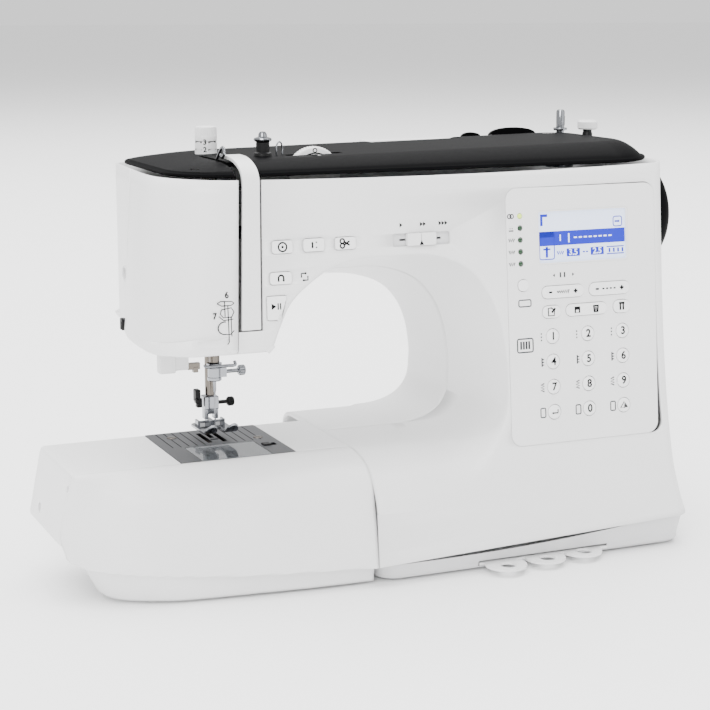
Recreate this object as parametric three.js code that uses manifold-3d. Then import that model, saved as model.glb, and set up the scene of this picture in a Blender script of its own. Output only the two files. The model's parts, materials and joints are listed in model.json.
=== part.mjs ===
// A computerised free-arm sewing machine, as an assembly of separate closed pieces.
//
// Units are millimetres. X runs from the end of the free arm to the handwheel, Y from the
// user's side to the rear and Z up from the table. The origin is below the middle of the
// machine, on the table.
import * as THREE from "three";
import { mergeVertices } from "three/addons/utils/BufferGeometryUtils.js";
import Module from "manifold-3d";

const wasm = await Module();
wasm.setup();

// ---- Driving dimensions ---------------------------------------------------------------

const GAP = 0.3; // between neighbouring pieces
const WALL = 2.5; // moulded covers
const HALF_WIDTH = 204.25; // arm end to handwheel face
const HALF_DEPTH = 88;

// Heights above the table
const FOOT_Z = 1.8;
const FLANGE_Z = 12; // lower edge of the covers
const ARM_BOTTOM_Z = 33;
const BED_Z = 74;
const HEAD_Z = 141; // underside of the head
const ARCH_Z = 189.5; // underside of the arm at the front
const SHELL_TOP_Z = 235;
const LID_TOP_Z = 246.3;

// Body in plan, at the top edge of the covers
const BODY = { left: -145.5, right: 173.5, front: -53, rear: 78, corner: 30 };
const FRONT_LEAN = 0.095; // the front comes forward this much per millimetre down
const HEAD_FLARE = 0.133; // and the head's left side outward, most at the front
const SIDE_FLARE = 15; // spread of the right side at the flange
const REAR_FLARE = 10;
const ARCH_SLOPE = 0.226; // the arm's underside falls towards the rear
const SEAM_X = -28.75; // where the extension table meets the base
const COLUMN_X = 57;
const SPLIT_Y = 19.5; // front and rear covers meet here, through the shaft axis

// Free arm
const ARM = { left: -196.25, front: -27.85, rear: 46 };

// Needle, presser and feed
const NEEDLE = { x: -95.65, y: 19.5 };
const PRESSER_Y = 28.5;
const PLATE = { left: -132.2, right: -62.2, front: -27.4, rear: 45.4, thick: 1.6 };
const HOOK = { x: -100, y: -2, r: 20 };
const SLOT_X = -104.4; // take-up slot

// Shafts
const SHAFT = { y: 19.5, z: 198, r: 4 };
const LOWER = { y: 5, z: 42, r: 3 };
const MOTOR = { y: 45, z: 48, r: 20 };
const WHEEL_R = 34.5;

// ---- Small tools ----------------------------------------------------------------------

// A closed three.js geometry as a manifold-3d solid.
function solid(geometry) {
  const bare = geometry.clone();
  bare.deleteAttribute("normal");
  bare.deleteAttribute("uv");
  const merged = mergeVertices(bare, 1e-3);
  return new wasm.Manifold(
    new wasm.Mesh({
      numProp: 3,
      vertProperties: merged.attributes.position.array,
      triVerts: new Uint32Array(merged.index.array),
    }),
  );
}

function joined(...geometries) {
  return geometries.map(solid).reduce((sum, next) => sum.add(next));
}

function cutBy(body, ...geometries) {
  return geometries.map(solid).reduce((rest, next) => rest.subtract(next), body);
}

// The solid's surface as a three.js geometry.
function surface(body) {
  const mesh = body.getMesh();
  const geometry = new THREE.BufferGeometry();
  geometry.setAttribute("position", new THREE.BufferAttribute(mesh.vertProperties, 3));
  geometry.setIndex(new THREE.BufferAttribute(mesh.triVerts, 1));
  geometry.computeVertexNormals();
  return geometry;
}

function shapeOf(points) {
  return new THREE.Shape(points.map(([a, b]) => new THREE.Vector2(a, b)));
}

function roundedShape(left, right, low, high, radius) {
  const shape = new THREE.Shape();
  shape.moveTo(right, low + radius);
  shape.absarc(right - radius, high - radius, radius, 0, Math.PI / 2);
  shape.absarc(left + radius, high - radius, radius, Math.PI / 2, Math.PI);
  shape.absarc(left + radius, low + radius, radius, Math.PI, 1.5 * Math.PI);
  shape.absarc(right - radius, low + radius, radius, 1.5 * Math.PI, 2 * Math.PI);
  return shape;
}

// Turns that carry a shape drawn in a plane, and its depth along +Z, to another plane.
const TURN = {
  x: new THREE.Matrix4().set(0, 0, 1, 0, 1, 0, 0, 0, 0, 1, 0, 0, 0, 0, 0, 1),
  y: new THREE.Matrix4().set(1, 0, 0, 0, 0, 0, -1, 0, 0, 1, 0, 0, 0, 0, 0, 1),
  z: new THREE.Matrix4(),
};

// A shape carried along an axis: (Y, Z) outlines along x, (X, Z) along y, (X, Y) along z.
function prism(axis, shape, from, to, curveSegments = 4, steps = 1) {
  const depth = to - from;
  const options = { depth, steps, curveSegments, bevelEnabled: false };
  const geometry = new THREE.ExtrudeGeometry(shape, options);
  geometry.translate(0, 0, axis === "y" ? -to : from);
  return geometry.applyMatrix4(TURN[axis]);
}

function box(x0, x1, y0, y1, z0, z1) {
  const geometry = new THREE.BoxGeometry(x1 - x0, y1 - y0, z1 - z0);
  return geometry.translate((x0 + x1) / 2, (y0 + y1) / 2, (z0 + z1) / 2);
}

// A round bar along an axis, from one coordinate to the other.
function bar(axis, centre, from, to, radius, sides = 16, tip = radius) {
  const geometry = new THREE.CylinderGeometry(tip, radius, to - from, sides);
  if (axis === "x") geometry.rotateZ(-Math.PI / 2);
  if (axis === "z") geometry.rotateX(Math.PI / 2);
  const middle = (from + to) / 2;
  const [a, b] = centre;
  if (axis === "x") return geometry.translate(middle, a, b);
  if (axis === "y") return geometry.translate(a, middle, b);
  return geometry.translate(a, b, middle);
}

// A turned ring or cup: a closed profile of (radius, height) about a vertical axis.
function turned(profile, sides = 20) {
  const points = profile.map(([r, h]) => new THREE.Vector2(r, h));
  return new THREE.LatheGeometry(points, sides).rotateX(Math.PI / 2);
}

const finishes = {
  white: { color: 0xececec, roughness: 0.42, metalness: 0 },
  black: { color: 0x1c1c1d, roughness: 0.35, metalness: 0 },
  chrome: { color: 0xc9cccf, roughness: 0.15, metalness: 1 },
  steel: { color: 0x77787a, roughness: 0.4, metalness: 1 },
  casting: { color: 0x9a9da0, roughness: 0.6, metalness: 1 },
  rubber: { color: 0x141414, roughness: 0.8, metalness: 0 },
  key: { color: 0xf4f4f4, roughness: 0.5, metalness: 0 },
  clear: { color: 0xdfe4e8, roughness: 0.1, metalness: 0 },
  display: { color: 0xd6def5, roughness: 0.2, metalness: 0 },
};

const machine = new THREE.Group();

// Adds one named piece, from a geometry or from a solid.
function piece(name, form, finish, parent = machine) {
  const geometry = form.isBufferGeometry ? form : surface(form);
  const mesh = new THREE.Mesh(geometry, new THREE.MeshStandardMaterial(finishes[finish]));
  mesh.name = name;
  parent.add(mesh);
  return mesh;
}

// ---- Covers ---------------------------------------------------------------------------

// The tapered block of head, arm, column and base, shrunk by an inset.
function bodyBlock(inset, bottom, top) {
  const width = BODY.right - BODY.left;
  const depth = BODY.rear - BODY.front;
  const plan = roundedShape(
    BODY.left + inset,
    BODY.right - inset,
    BODY.front + inset,
    BODY.rear - inset,
    BODY.corner - inset,
  );
  const block = prism("z", plan, bottom, top, 5, 8);
  const at = block.attributes.position;
  for (let i = 0; i < at.count; i++) {
    const drop = SHELL_TOP_Z - at.getZ(i);
    const share = drop / (SHELL_TOP_Z - FLANGE_Z);
    const right = (at.getX(i) - BODY.left) / width;
    const back = (at.getY(i) - BODY.front) / depth;
    const headFlare = (1 - right) * (1 - back) * HEAD_FLARE * drop;
    const flareX = right * SIDE_FLARE * share ** 4 - headFlare;
    const flareY = back * REAR_FLARE * share ** 4 - (1 - back) * FRONT_LEAN * drop;
    at.setX(i, at.getX(i) + flareX);
    at.setY(i, at.getY(i) + flareY);
  }
  return solid(block);
}

// Everything left of the column and below the head and arm, grown by a wall's thickness.
function harpSpace(grow) {
  const bed = BED_Z - grow;
  const column = COLUMN_X + grow;
  const arch = ARCH_Z + grow;
  const head = HEAD_Z + grow;
  const side = new THREE.Shape();
  side.moveTo(-300, -20);
  side.lineTo(SEAM_X + grow, -20);
  side.lineTo(SEAM_X + grow, bed);
  side.lineTo(20, bed);
  side.quadraticCurveTo(column, bed, column, bed + 32);
  side.bezierCurveTo(column, 150, 45 + grow, arch, 8, arch);
  side.lineTo(-31, arch);
  side.bezierCurveTo(-52, arch, -66 - grow, 184 + grow, -75 - grow, 169);
  side.lineTo(-88.5 - grow, head);
  side.lineTo(-300, head);
  const under = (y) => arch - ARCH_SLOPE * (y - BODY.front);
  const below = shapeOf([[-150, -50], [150, -50], [150, under(150)], [-150, under(-150)]]);
  return solid(prism("y", side, -140, 140, 5)).intersect(solid(prism("x", below, -310, 90)));
}

// The rounded shoulders of the bed in front of and behind the harp space.
function shoulders(grow) {
  const front = shapeOf([
    [-110, 95], [-36, 95], [-36, BED_Z - grow], [-50.6, 70.8 - grow], [-57.8 + grow, 66],
    [-63.5 + grow, 57.9], [-67 + grow, 46], [-110, 46],
  ]);
  const rear = shapeOf([
    [110, 95], [110, 58], [80 - grow, 60], [76 - grow, 69], [67, BED_Z - grow], [67, 95],
  ]);
  return joined(prism("x", front, -60, 24), prism("x", rear, -60, 40));
}

function bodyForm(inset, bottom, top) {
  return bodyBlock(inset, bottom, top).subtract(harpSpace(inset)).subtract(shoulders(inset));
}

const shell = bodyForm(0, FLANGE_Z, SHELL_TOP_Z).subtract(
  bodyForm(WALL, FLANGE_Z - 5, SHELL_TOP_Z + 5),
);

// The tilted frame of the front face: X across, Y into the machine, Z up the face.
const face = new THREE.Group();
face.name = "front_face";
const FACE_REF_Z = 141;
const FACE_TILT = Math.atan(FRONT_LEAN);
face.position.set(0, BODY.front - FRONT_LEAN * (SHELL_TOP_Z - FACE_REF_Z), FACE_REF_Z);
face.rotation.x = -FACE_TILT;
face.updateMatrixWorld(true);
machine.add(face);

const upFace = (z) => (z - FACE_REF_Z) / Math.cos(FACE_TILT);
const onFace = (geometry) => geometry.clone().applyMatrix4(face.matrixWorld);

// A block through the front face, with rounded corners, between two depths.
function facePad(left, right, low, high, radius, outer, inner) {
  const shape = roundedShape(left, right, upFace(low), upFace(high), radius);
  return prism("y", shape, outer, inner, 2);
}

// ---- Controls on the front face -------------------------------------------------------

const PROUD = -0.8; // how far a button stands out of the face
const BUTTON_BACK = 6;
const CLEAR = 0.35; // round each button
const BUTTON_CORNER = 1.6;
const THROUGH = 9; // reach of a cut to each side of the face

const frontButtons = [
  ["needle_stop_button", -87.1, -75.1, 195.2, 202.2],
  ["needle_position_button", -68.5, -56.1, 195.3, 202.4],
  ["thread_cutter_button", -49.5, -37.1, 195.4, 202.2],
  ["reverse_button", -89, -76.4, 178.3, 184.9],
];
const START_STOP = { left: -91.4, right: -79.6, low: 158.9, high: 171.9, slant: 4.4 };
const panelKeys = [
  ["stitch_mode_key", 65.4, 72.2, 164.9, 171.7],
  ["width_rocker", 81.2, 109.2, 159.6, 166.8],
  ["length_rocker", 113.2, 140.9, 159.4, 167.1],
  ["edit_key", 81.2, 93.2, 148.1, 155.3],
  ["memory_rocker", 97.1, 124.8, 148.3, 155.3],
  ["twin_needle_key", 129.6, 141, 148.1, 155.7],
];
const NUMBER_KEY = { x: [87.7, 111.7, 135.7], top: 137.2, pitch: 15, r: 4.3 };
const PANEL = { left: 58.7, right: 159.7, low: 73.7, high: 225, corner: 7 };
const LCD = { left: 79.3, right: 141.1, low: 179.5, high: 211.5 };
const SPEED = { left: -14, right: 22.3, low: 195, high: 202.6 };

const cuts = [];
for (const [name, left, right, low, high] of frontButtons) {
  const pad = facePad(left, right, low, high, BUTTON_CORNER, PROUD, BUTTON_BACK);
  piece(name, pad, "key", face);
  const hole = [left - CLEAR, right + CLEAR, low - CLEAR, high + CLEAR, BUTTON_CORNER];
  cuts.push(onFace(facePad(...hole, -THROUGH, THROUGH)));
}

// The start and stop button narrows downwards, along the arch.
function startStopPad(grow, outer, inner) {
  const { left, right, low, high, slant } = START_STOP;
  const shape = shapeOf([
    [left - grow, upFace(low - grow)], [right - slant + grow, upFace(low - grow)],
    [right + grow, upFace(high + grow)], [left - grow, upFace(high + grow)],
  ]);
  return prism("y", shape, outer, inner);
}
piece("start_stop_button", startStopPad(0, PROUD, BUTTON_BACK), "key", face);
cuts.push(onFace(startStopPad(CLEAR, -THROUGH, THROUGH)));

const panelHoles = [];
for (const [name, left, right, low, high] of panelKeys) {
  const radius = (high - low) / 2 - 0.2;
  piece(name, facePad(left, right, low, high, radius, PROUD, BUTTON_BACK), "key", face);
  const hole = [left - CLEAR, right + CLEAR, low - CLEAR, high + CLEAR, radius];
  panelHoles.push(facePad(...hole, -THROUGH, THROUGH));
}

// Twelve round keys: each column of four is one moulding with a carrier behind the panel.
for (const [column, x] of NUMBER_KEY.x.entries()) {
  const heights = [0, 1, 2, 3].map((row) => upFace(NUMBER_KEY.top - row * NUMBER_KEY.pitch));
  const caps = heights.map((z) => bar("y", [x, z], PROUD, 5, NUMBER_KEY.r, 12));
  const carrier = box(x - 3, x + 3, 4.6, 6.2, heights[3] - 4, heights[0] + 4);
  piece("number_keys_" + (column + 1), joined(carrier, ...caps), "key", face);
  for (const z of heights) {
    panelHoles.push(bar("y", [x, z], -THROUGH, THROUGH, NUMBER_KEY.r + CLEAR, 12));
  }
}

const windowHole = facePad(LCD.left, LCD.right, LCD.low, LCD.high, 2, -THROUGH, THROUGH);
const panelPlate = facePad(PANEL.left, PANEL.right, PANEL.low, PANEL.high, PANEL.corner, 0, 2);
piece("control_panel", cutBy(solid(panelPlate), windowHole, ...panelHoles), "white", face);
const lcdPane = [LCD.left + GAP, LCD.right - GAP, LCD.low + GAP, LCD.high - GAP, 1.8, 0.4, 3];
piece("lcd_window", facePad(...lcdPane), "display", face);
const panelRoom = [
  PANEL.left - GAP, PANEL.right + GAP, PANEL.low - GAP, PANEL.high + GAP, PANEL.corner,
];
cuts.push(onFace(facePad(...panelRoom, -THROUGH, THROUGH)));

// Speed control: a knob with a stem through a long slot.
const knob = facePad(-5.3, 12.7, SPEED.low + GAP, SPEED.high - GAP, 1, -2.2, 0.6);
const knobStem = box(1, 6, 0.2, 7, upFace(197), upFace(200.6));
piece("speed_slider", joined(knob, knobStem), "white", face);
const speedPocket = facePad(SPEED.left, SPEED.right, SPEED.low, SPEED.high, 1, -THROUGH, 1.1);
const stemSlot = facePad(SPEED.left + 5, SPEED.right - 5, 196.4, 201.2, 1, -THROUGH, THROUGH);
cuts.push(onFace(speedPocket), onFace(stemSlot));

// ---- Splitting the shell --------------------------------------------------------------

const STRIP = { left: -103.2, right: -92.9, low: 154 };
const headOpening = box(-138, -80, 1, 52, HEAD_Z - 5, HEAD_Z + 10);
const shaftHole = bar("x", [SHAFT.y, SHAFT.z], 150, 200, 8);
const INLET = { front: 22, rear: 49, low: 34, high: 62 };
const inletHole = box(150, 200, INLET.front, INLET.rear, INLET.low, INLET.high);
const armWindow = box(SEAM_X - 4, SEAM_X + 8, -22, 40, 35.6, 70);

const frontHalf = solid(box(-300, 300, -200, SPLIT_Y - GAP / 2, -20, 300));
const rearHalf = solid(box(-300, 300, SPLIT_Y + GAP / 2, 200, -20, 300));
const faceSide = solid(box(-300, SLOT_X - 1.2, -200, 200, -20, 300));
const stripRoom = box(SLOT_X - 1, STRIP.right + 1.2, -100, -30, STRIP.low - 0.5, 300);
const seamRoom = box(-300, SLOT_X - 0.6, -200, 200, -20, 300);

const openShell = cutBy(shell, headOpening, shaftHole, inletHole, armWindow, ...cuts);
const frontShell = openShell.intersect(frontHalf);
piece("face_cover", frontShell.intersect(faceSide), "white");
piece("front_cover", cutBy(frontShell, seamRoom, stripRoom), "white");
piece("rear_cover", openShell.intersect(rearHalf), "white");

// The white strip between the two thread slots, over the front edge of the lid and down.
const faceY = (z) => BODY.front - FRONT_LEAN * (SHELL_TOP_Z - z);
const stripSide = shapeOf([
  [-22, 247.6], [-46, 244.2], [-52.2, 239], [faceY(SHELL_TOP_Z), SHELL_TOP_Z],
  [faceY(STRIP.low), STRIP.low], [faceY(STRIP.low) + 2.4, STRIP.low],
  [faceY(SHELL_TOP_Z) + 3, SHELL_TOP_Z], [-49, 237.4], [-45, 241], [-22, 245],
]);
piece("thread_strip", prism("x", stripSide, STRIP.left, STRIP.right), "white");

// ---- Lid ------------------------------------------------------------------------------

const LID = { left: -139, right: 169, front: -50, rear: 75, corner: 28, wall: 2.2 };
const lidTop = (x) => LID_TOP_Z + 0.0165 * (x - 10);

// The lid's block: it narrows towards the top, and its top rises gently to the right.
function lidBlock(inset, bottom) {
  const top = LID_TOP_Z - inset;
  const plan = roundedShape(
    LID.left + inset, LID.right - inset, LID.front + inset, LID.rear - inset, LID.corner - inset,
  );
  const block = prism("z", plan, bottom, top, 5, 3);
  const at = block.attributes.position;
  const start = SHELL_TOP_Z + 3.4;
  for (let i = 0; i < at.count; i++) {
    const rise = Math.max(0, (at.getZ(i) - start) / (top - start));
    const x = at.getX(i);
    const y = at.getY(i);
    at.setX(i, x - Math.sign(x - 15) * 7 * rise ** 2);
    at.setY(i, y - Math.sign(y - 12) * 9 * rise ** 2);
    at.setZ(i, at.getZ(i) + rise * (lidTop(x) - LID_TOP_Z));
  }
  return solid(block);
}

const HANDLE = { left: 20, right: 76, y: 48, z: 241.2 };
const SPOOL = { left: 107, hinge: 142, y: 60, z: 243 };
const DIAL = { x: -44.4, y: -12, z: 233.6, r: 16 };
const PRESSURE_R = 6.5;
const WINDER = { x: 155.3, y: 51.4 };
const STOPPER = { x: 161, y: 26.6 };
const PRETENSION = { x: -73.8, y: -8 };

// A pocket let into the lid: its tub, and the space cut out of it.
const pockets = [
  [HANDLE.left - 3, HANDLE.right + 3, 44, 72],
  [SPOOL.left - 3, SPOOL.hinge + 5, 52, 68],
];
const LID_FLOOR = 238.4;
const lidOuter = lidBlock(0, SHELL_TOP_Z + GAP);
let lid = lidOuter.subtract(lidBlock(LID.wall, SHELL_TOP_Z - 5));
for (const [x0, x1, y0, y1] of pockets) {
  const tub = box(x0 - 2, x1 + 2, y0 - 2, y1 + 2, LID_FLOOR - 2, 260);
  lid = lid.add(solid(tub).intersect(lidOuter));
  lid = lid.subtract(solid(box(x0, x1, y0, y1, LID_FLOOR, 260)));
}
const stopperPost = bar("z", [STOPPER.x, STOPPER.y], 240, 251.5, 2.8, 10);
const stopperDisc = bar("z", [STOPPER.x, STOPPER.y], 251.5, 257.5, 6.4, 14);
lid = lid.add(solid(stopperPost)).add(solid(stopperDisc));
lid = cutBy(
  lid,
  box(SLOT_X - 1.4, STRIP.right + 1.2, -80, -16, 230, 260),
  box(SLOT_X - 1.4, SLOT_X + 1.4, -80, 12, 230, 260),
  box(DIAL.x - DIAL.r - 1, DIAL.x + DIAL.r + 1, DIAL.y - 3.6, DIAL.y + 3.6, 230, 260),
  bar("z", [NEEDLE.x, PRESSER_Y], 230, 260, PRESSURE_R + 0.6, 20),
  bar("z", [WINDER.x, WINDER.y], 230, 260, 3.6, 12),
);
piece("top_cover", lid, "black");

// Pretension post with its polished cap.
piece(
  "pretension_guide",
  joined(
    bar("z", [PRETENSION.x, PRETENSION.y], 246.2, 253.4, 4.6, 14),
    bar("z", [PRETENSION.x, PRETENSION.y], 253, 259, 5, 6),
  ),
  "chrome",
);

// ---- Base -----------------------------------------------------------------------------

// A tray of the body's plan at the flange, set in at the top and more at the bottom.
function trayBlock(inset, bottom, top) {
  const plan = roundedShape(
    SEAM_X + 0.5 + inset, 181 - inset, -70 + inset, 80 - inset, 12 - inset / 2,
  );
  const block = prism("z", plan, bottom, top, 4);
  const at = block.attributes.position;
  for (let i = 0; i < at.count; i++) {
    if (at.getZ(i) > bottom + 1) continue;
    at.setX(i, at.getX(i) - (at.getX(i) > 0 ? 4 : 0));
    at.setY(i, at.getY(i) - Math.sign(at.getY(i)) * 4);
  }
  return solid(block);
}

const footSpots = [[-14, -52], [162, -52], [-14, 62], [162, 62]];
const CARD = { left: 38, right: 125, back: 4, low: 3.9, high: 5.3 };
const trayOuter = trayBlock(0, FOOT_Z, FLANGE_Z - GAP);
const trayInner = trayBlock(WALL, FOOT_Z + 1.8, FLANGE_Z + 5);
let tray = trayOuter.subtract(trayInner);
for (const spot of footSpots) {
  tray = tray.add(solid(bar("z", spot, 0, FOOT_Z + 1, 8, 14)));
}
const cardSlot = box(CARD.left - 0.5, CARD.right + 0.5, -90, -50, 3.6, 5.6);
piece("base_tray", cutBy(tray, cardSlot), "white");

// Pull-out card with three round finger tabs.
const TAB_R = 12.5;
const tabCentres = [[52, 0], [80, 3], [107, 6]].map(([x, back]) => [x, TAB_R + back - HALF_DEPTH]);
const tabs = tabCentres.map((centre) => bar("z", centre, CARD.low, CARD.high, TAB_R, 20));
const tabHoles = tabCentres.map(([x, y]) => bar("z", [x, y - 3], 0, 9, 5, 12));
const card = box(CARD.left, CARD.right, -69, CARD.back, CARD.low, CARD.high);
piece("slide_card", cutBy(joined(card, ...tabs), ...tabHoles), "white");

// ---- Free arm and extension table -----------------------------------------------------

function armForm(inset) {
  const low = ARM_BOTTOM_Z + inset;
  const high = BED_Z - inset;
  const side = shapeOf([
    [ARM.left + inset, high], [-HALF_WIDTH + inset, 40], [-HALF_WIDTH + 2 + inset, 34 + inset],
    [-HALF_WIDTH + 8 + inset, low], [SEAM_X - GAP + 4 * inset, low],
    [SEAM_X - GAP + 4 * inset, high],
  ]);
  const rear = ARM.rear - inset;
  const section = shapeOf([
    [ARM.front + inset, high], [ARM.front + inset, low], [rear - 16, low], [rear - 5, low + 5],
    [rear, low + 16], [rear, high],
  ]);
  return solid(prism("y", side, -30, 50)).intersect(solid(prism("x", section, -210, 0)));
}

const armShell = armForm(0).subtract(armForm(WALL));
const PLATE_Z = BED_Z - PLATE.thick;
piece(
  "free_arm_cover",
  cutBy(
    armShell,
    box(PLATE.left - GAP, PLATE.right + GAP, -40, 60, PLATE_Z - GAP, 90),
    box(-126, -65.4, -23, 41, 60, 90),
  ),
  "white",
);

function tableForm(inset) {
  const left = -HALF_WIDTH + inset;
  const right = SEAM_X - GAP - inset;
  const back = ARM.front - 0.45 + (inset ? 5 : 0);
  const low = 1.2 + inset;
  const plan = new THREE.Shape();
  plan.moveTo(right, back);
  plan.lineTo(left, back);
  plan.lineTo(left + inset, -32 + inset);
  plan.bezierCurveTo(left + 12, -48 + inset, -160, -60 + inset, -120, -66 + inset);
  plan.quadraticCurveTo(-80, -72 + inset, right, -73 + inset);
  const side = shapeOf([
    [ARM.left + inset, BED_Z - inset], [left, 40], [left + 5, 24], [left + 18 + inset, 14],
    [-178 + inset, low], [right, low], [right, BED_Z - inset],
  ]);
  const section = shapeOf([
    [10, BED_Z - inset], [-36, BED_Z - inset], [-50.6, 70.8 - inset], [-57.8 + inset, 66 - inset],
    [-63.5 + inset, 57.9], [-68.5 + inset, 39.6], [-73 + inset, 13.5], [-70 + inset, 10],
    [-65 + inset, low], [10, low],
  ]);
  return solid(prism("z", plan, 0, 80, 6))
    .intersect(solid(prism("y", side, -80, 0)))
    .intersect(solid(prism("x", section, -210, 0)));
}

piece("extension_table", tableForm(0).subtract(tableForm(WALL)), "white");

// ---- Needle plate and bobbin ----------------------------------------------------------

const BOBBIN_LID = { left: -119.2, right: -76.6, rear: 6 };
const FEED_ROWS = [-101, -96.4, -91.8];
const plateBlank = box(PLATE.left, PLATE.right, PLATE.front, PLATE.rear, PLATE_Z, BED_Z);
const plateCuts = [
  box(BOBBIN_LID.left - GAP, BOBBIN_LID.right + GAP, -40, BOBBIN_LID.rear + GAP, 70, 80),
  box(-74.9, -66.2, -7.6, -1.8, 70, 80),
  box(-99, -92.9, 18.5, 20.5, 70, 80),
  box(FEED_ROWS[0] - 1.6, FEED_ROWS[0] + 1.6, 12.2, 37, 70, 80),
  box(FEED_ROWS[1] - 1.6, FEED_ROWS[1] + 1.6, 22.5, 37, 70, 80),
  box(FEED_ROWS[2] - 1.6, FEED_ROWS[2] + 1.6, 12.2, 37, 70, 80),
];
piece("needle_plate", cutBy(solid(plateBlank), ...plateCuts), "steel");

const lidPane = box(BOBBIN_LID.left, BOBBIN_LID.right, PLATE.front, BOBBIN_LID.rear, 72.6, 73.9);
piece("bobbin_cover", lidPane, "clear");
piece("cover_release", box(-74.6, -69.6, -7.3, -2.1, 71.4, 74.8), "black");

const feedBase = box(-104, -88.8, 8, 40, 66.6, 69.2);
const feedTeeth = FEED_ROWS.map((x, i) => box(x - 1.1, x + 1.1, i === 1 ? 25.4 : 15.2, 34, 69, 73.2));
const needleRoom = box(-98.8, -92.6, 15.8, 23.2, 60, 80);
piece("feed_dog", cutBy(joined(feedBase, ...feedTeeth), needleRoom), "steel");

// Rotary hook: an open cup on a short spindle.
const hookCup = turned([
  [0, 47.6], [10, 47.6], [10, 50], [HOOK.r, 50], [HOOK.r, 63], [17.2, 63], [17.2, 52], [0, 52],
]);
piece("rotary_hook", hookCup.translate(HOOK.x, HOOK.y, 0), "chrome");

const caseCup = turned([
  [0, 52.6], [16.4, 52.6], [16.4, 65.6], [11, 65.6], [11, 54.2], [0, 54.2],
]);
piece("bobbin_case", caseCup.translate(HOOK.x, HOOK.y, 0), "black");

const spool = turned([
  [3, 54.8], [10.3, 54.8], [10.3, 55.8], [4.4, 55.8], [4.4, 64.2], [10.3, 64.2], [10.3, 65.2],
  [3, 65.2], [3, 54.8],
]);
piece("bobbin", spool.translate(HOOK.x, HOOK.y, 0), "clear");

// ---- Needle bar, presser bar and threader ---------------------------------------------

const NB_R = 3.2;
piece("needle_bar", bar("z", [NEEDLE.x, NEEDLE.y], 121, 235, NB_R, 14), "chrome");
const clampBody = box(NEEDLE.x - 4, NEEDLE.x + 4, 15.2, 23.6, 110, 120.7);
const clampBar = box(NEEDLE.x - 6.5, NEEDLE.x + 13, 16, 17.6, 119, 120.7);
const clampCuts = [
  bar("z", [NEEDLE.x, NEEDLE.y], 100, 114, 1.1, 10),
  bar("x", [NEEDLE.y, 115], NEEDLE.x + 2.5, -80, 1.5, 10),
];
piece("needle_clamp", cutBy(joined(clampBody, clampBar), ...clampCuts), "chrome");
piece("needle", bar("z", [NEEDLE.x, NEEDLE.y], 82, 113.6, 0.25, 8, 0.75), "chrome");
piece(
  "clamp_screw",
  joined(
    bar("x", [NEEDLE.y, 115], NEEDLE.x + 3, -80, 1.2, 10),
    bar("x", [NEEDLE.y, 115], -80.4, -76.4, 3, 12),
  ),
  "chrome",
);

const PB_R = 3;
piece("presser_bar", bar("z", [NEEDLE.x, PRESSER_Y], 99.3, 243, PB_R, 14), "steel");
const ankle = box(NEEDLE.x - 4.6, NEEDLE.x + 4.6, 24.6, 33.2, 89, 99);
const ankleFork = box(NEEDLE.x - 4.6, NEEDLE.x + 4.6, 26, 31, 84.8, 89.2);
const screwBore = bar("x", [PRESSER_Y, 94.4], NEEDLE.x + 2, -80, 1.5, 10);
piece("foot_holder", cutBy(joined(ankle, ankleFork), screwBore), "chrome");
piece(
  "foot_screw",
  joined(
    bar("x", [PRESSER_Y, 94.4], NEEDLE.x + 2.5, -84, 1.2, 10),
    bar("x", [PRESSER_Y, 94.4], -84.4, -80.4, 3.2, 12),
  ),
  "black",
);
piece("foot_release", box(-107, -100.7, 25.5, 32, 92, 104.5), "black");

// Presser foot: a sole whose toes curl up in front of the needle hole.
const soleSide = shapeOf([
  [4, 83.6], [6.5, 80.8], [11, 79.3], [36, 79.3], [38, 80.4], [36, 81.6], [34, 81.6],
  [34, 84.3], [24, 84.3], [24, 81.6], [12, 81.4], [8, 82.6], [5, 85],
]);
const sole = solid(prism("x", soleSide, NEEDLE.x - 10.5, NEEDLE.x + 10.5));
const soleCuts = [
  box(NEEDLE.x - 3.6, NEEDLE.x + 3.6, -5, 22.5, 70, 90),
  box(NEEDLE.x - 30, NEEDLE.x - 5, 20, 40, 81.7, 90),
  box(NEEDLE.x + 5, NEEDLE.x + 30, 20, 40, 81.7, 90),
];
piece("presser_foot", cutBy(sole, ...soleCuts), "chrome");

// Presser foot lever at the rear of the head.
const leverSide = shapeOf([
  [33, 148], [33, 131.6], [44, 130], [70, 124.6], [80, 119.6], [81.6, 122.6], [72, 128.6],
  [48, 134.8], [43, 138], [43, 148],
]);
piece("foot_lifter", prism("x", leverSide, -90, -82), "white");

// Needle threader: a lever hanging left of the bars, with its hook carrier.
const threaderLever = box(-132.8, -121, 8, 16, 122.5, 150);
const threaderArm = box(-121.4, -107.5, 9.5, 14.5, 126.5, 131.5);
const threaderHook = box(-112, -108.5, 9.5, 14.5, 120, 127);
piece("needle_threader", joined(threaderLever, threaderArm, threaderHook), "white");

// ---- Dials on the lid -----------------------------------------------------------------

piece("pressure_dial", bar("z", [NEEDLE.x, PRESSER_Y], 243.4, 260.3, PRESSURE_R, 20), "white");
piece("tension_dial", bar("y", [DIAL.x, DIAL.z], DIAL.y - 3, DIAL.y + 3, DIAL.r, 32), "white");
piece(
  "winder_spindle",
  joined(
    bar("z", [WINDER.x, WINDER.y], 228, 263, 2.75, 12),
    bar("z", [WINDER.x, WINDER.y], 226, 234, 9, 14),
  ),
  "chrome",
);
piece(
  "spool_pin",
  joined(
    bar("x", [SPOOL.y, SPOOL.z], SPOOL.left, SPOOL.hinge, 2.6, 12),
    bar("y", [SPOOL.hinge, SPOOL.z], SPOOL.y - 6, SPOOL.y + 6, 3.8, 12),
    bar("x", [SPOOL.y, SPOOL.z], SPOOL.left, SPOOL.left + 3, 4.4, 12),
  ),
  "black",
);

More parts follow.
